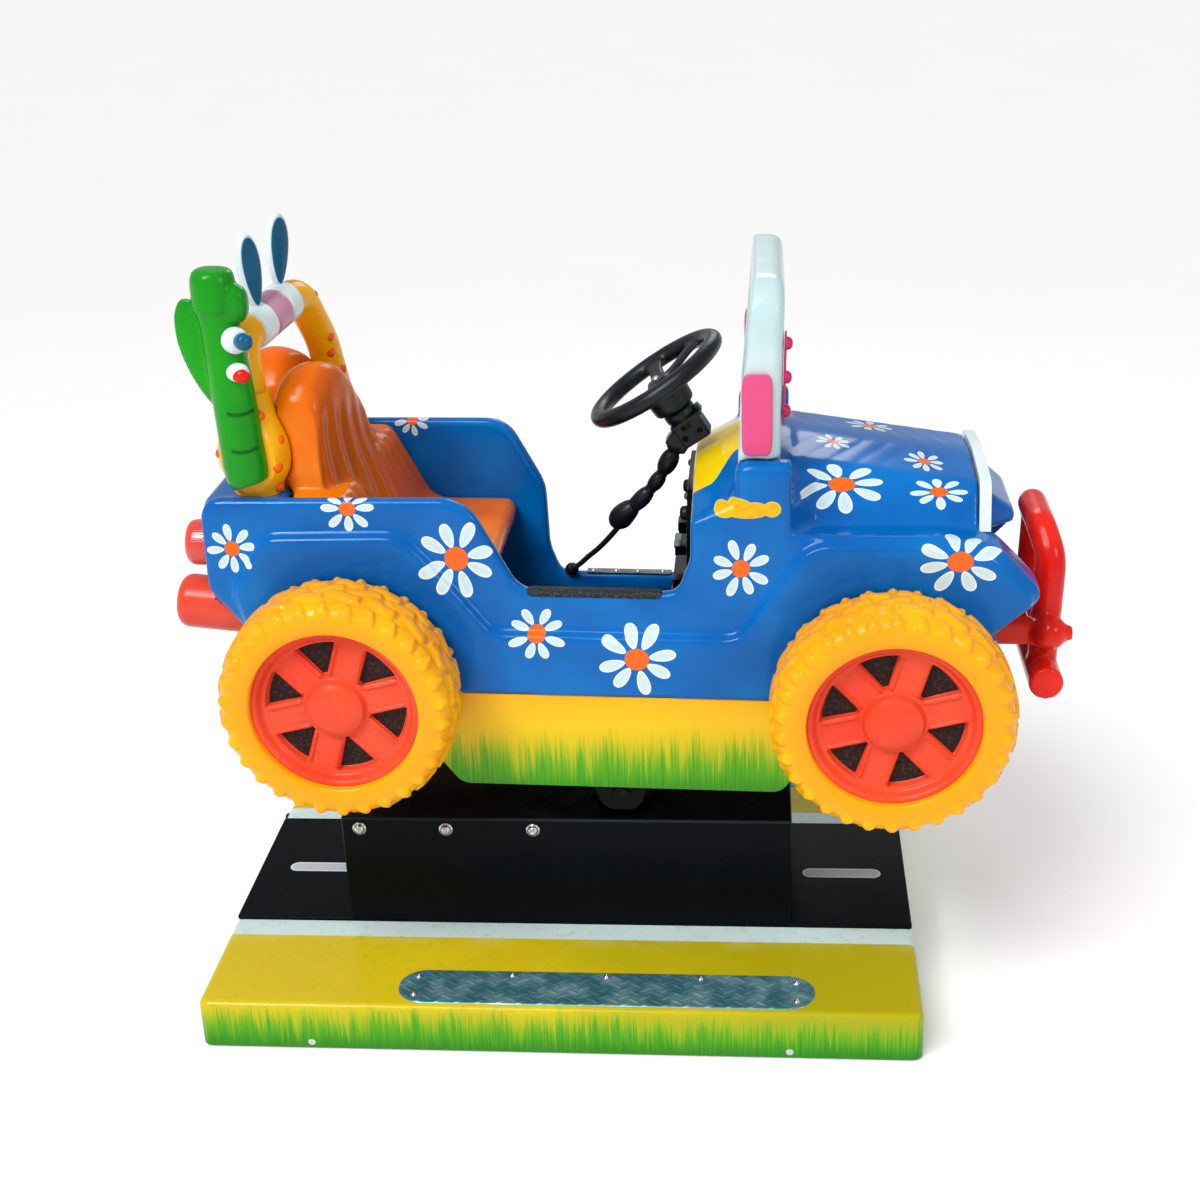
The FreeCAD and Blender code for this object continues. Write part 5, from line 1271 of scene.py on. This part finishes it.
def addCoinDetails():
    # rounded blocks, screws, a lock and two buttons on the coin unit's face
    back = (-1, 0, 0)
    heads = [domeHead(toRow(spot), back, coin["boltRadius"]) for spot in coin["bolts"]]
    assemble("coinBright", [*coin["blocks"], *heads, coin["lock"]], steel["dull"], "tread_plate")
    buttons = [("turned", coin["button"], spot, back, 32) for spot in coin["buttonsAt"]]
    assemble("coinButtons", buttons, black, "black_plastic")


sill = {"x": (-46, 173), "top": 743, "wall": -200, "step": 1.6, "middle": 15, "wide": 26, "round": 9,
        "sink": 2.5, "tape": (0.006, 0.008, 0.010), "grain": (0.05, 0.065, 0.075),
        "rivetX": (24, 66, 106, 152), "rivetY": 212.5, "rivetZ": 602.2, "rivetRadius": 0.0045}


def addSillStrip():
    # grip strip that lies on the sill and turns down over its outer edge, with round ends
    start, end = sill["x"]
    middle, corner = sill["middle"], sill["round"]
    v = np.linspace(0, 1, 26)[None, :]
    x = np.linspace(start, end, 160)[:, None] + 0 * v
    nearEnd = np.minimum(x - start, end - x)
    close = np.sqrt(np.clip(1 - np.clip(1 - nearEnd / corner, 0, 1) ** 2, 0, 1))
    across = middle + (v - 0.5) * sill["wide"] * close
    bend = np.clip(across - middle, 0, None) / corner
    y = sill["wall"] - np.where(bend > 0, middle + 1 + corner * np.sin(bend), across + 1)
    z = sill["top"] + sill["step"] - np.where(bend > 0, corner * (1 - np.cos(bend)), 0)
    border = np.minimum(smoothStep(0, 0.06, v), smoothStep(1, 0.94, v)) * smoothStep(0, 2.5, nearEnd)
    piece = outward(gridPiece("sillStrip", toRow(np.stack([x, y, z - (1 - border) * sill["sink"]], -1))))
    faceUp(piece, len(piece.data.polygons) // 2)
    tape = Finish("gripTape", sill["tape"], 0.6)
    grains = tape.noise(420.0, 4.0).step(0.5, 0.62)
    tape.put({"Base Color": grains.mix(sill["tape"], sill["grain"])})
    tape.bumps((grains, 0.0004))
    place(piece, "car", tape.material, "black_rubber")


def addEntryRivets():
    # a row of heads on the entry plate
    spots = [toRow((x, sill["rivetY"], sill["rivetZ"])) for x in sill["rivetX"]]
    heads = [domeHead(spot, (0, 0, 1), sill["rivetRadius"]) for spot in spots]
    assemble("entryRivets", heads, steel["bright"], "tread_plate")


addLamps()
addBumper()
addCoinDetails()
addSillStrip()
addEntryRivets()
dress(steel["dull"], "entry_plate")
dress(black, "mains_gland")
print("lamps, bumper, coin unit and sills")

skirt = {"low": (0.80, 0.50, 0.006), "high": (0.84, 0.38, 0.004), "grassFrom": 0.385, "grassTo": 0.535}


def paintSkirt(finish, base):
    # its own yellow over the coat's, warmer towards the top, and grass up from the lower edge
    warm = finish.z.step(0.50, 0.60).mix(skirt["low"], skirt["high"])
    return paintGrass(finish, warm, skirt["grassFrom"], skirt["grassTo"])


dress(gelCoat("skirtPaint", plinth["yellow"], None, 0.22, 0.15, 0.0008, paintSkirt), "skirts")
print("skirts")
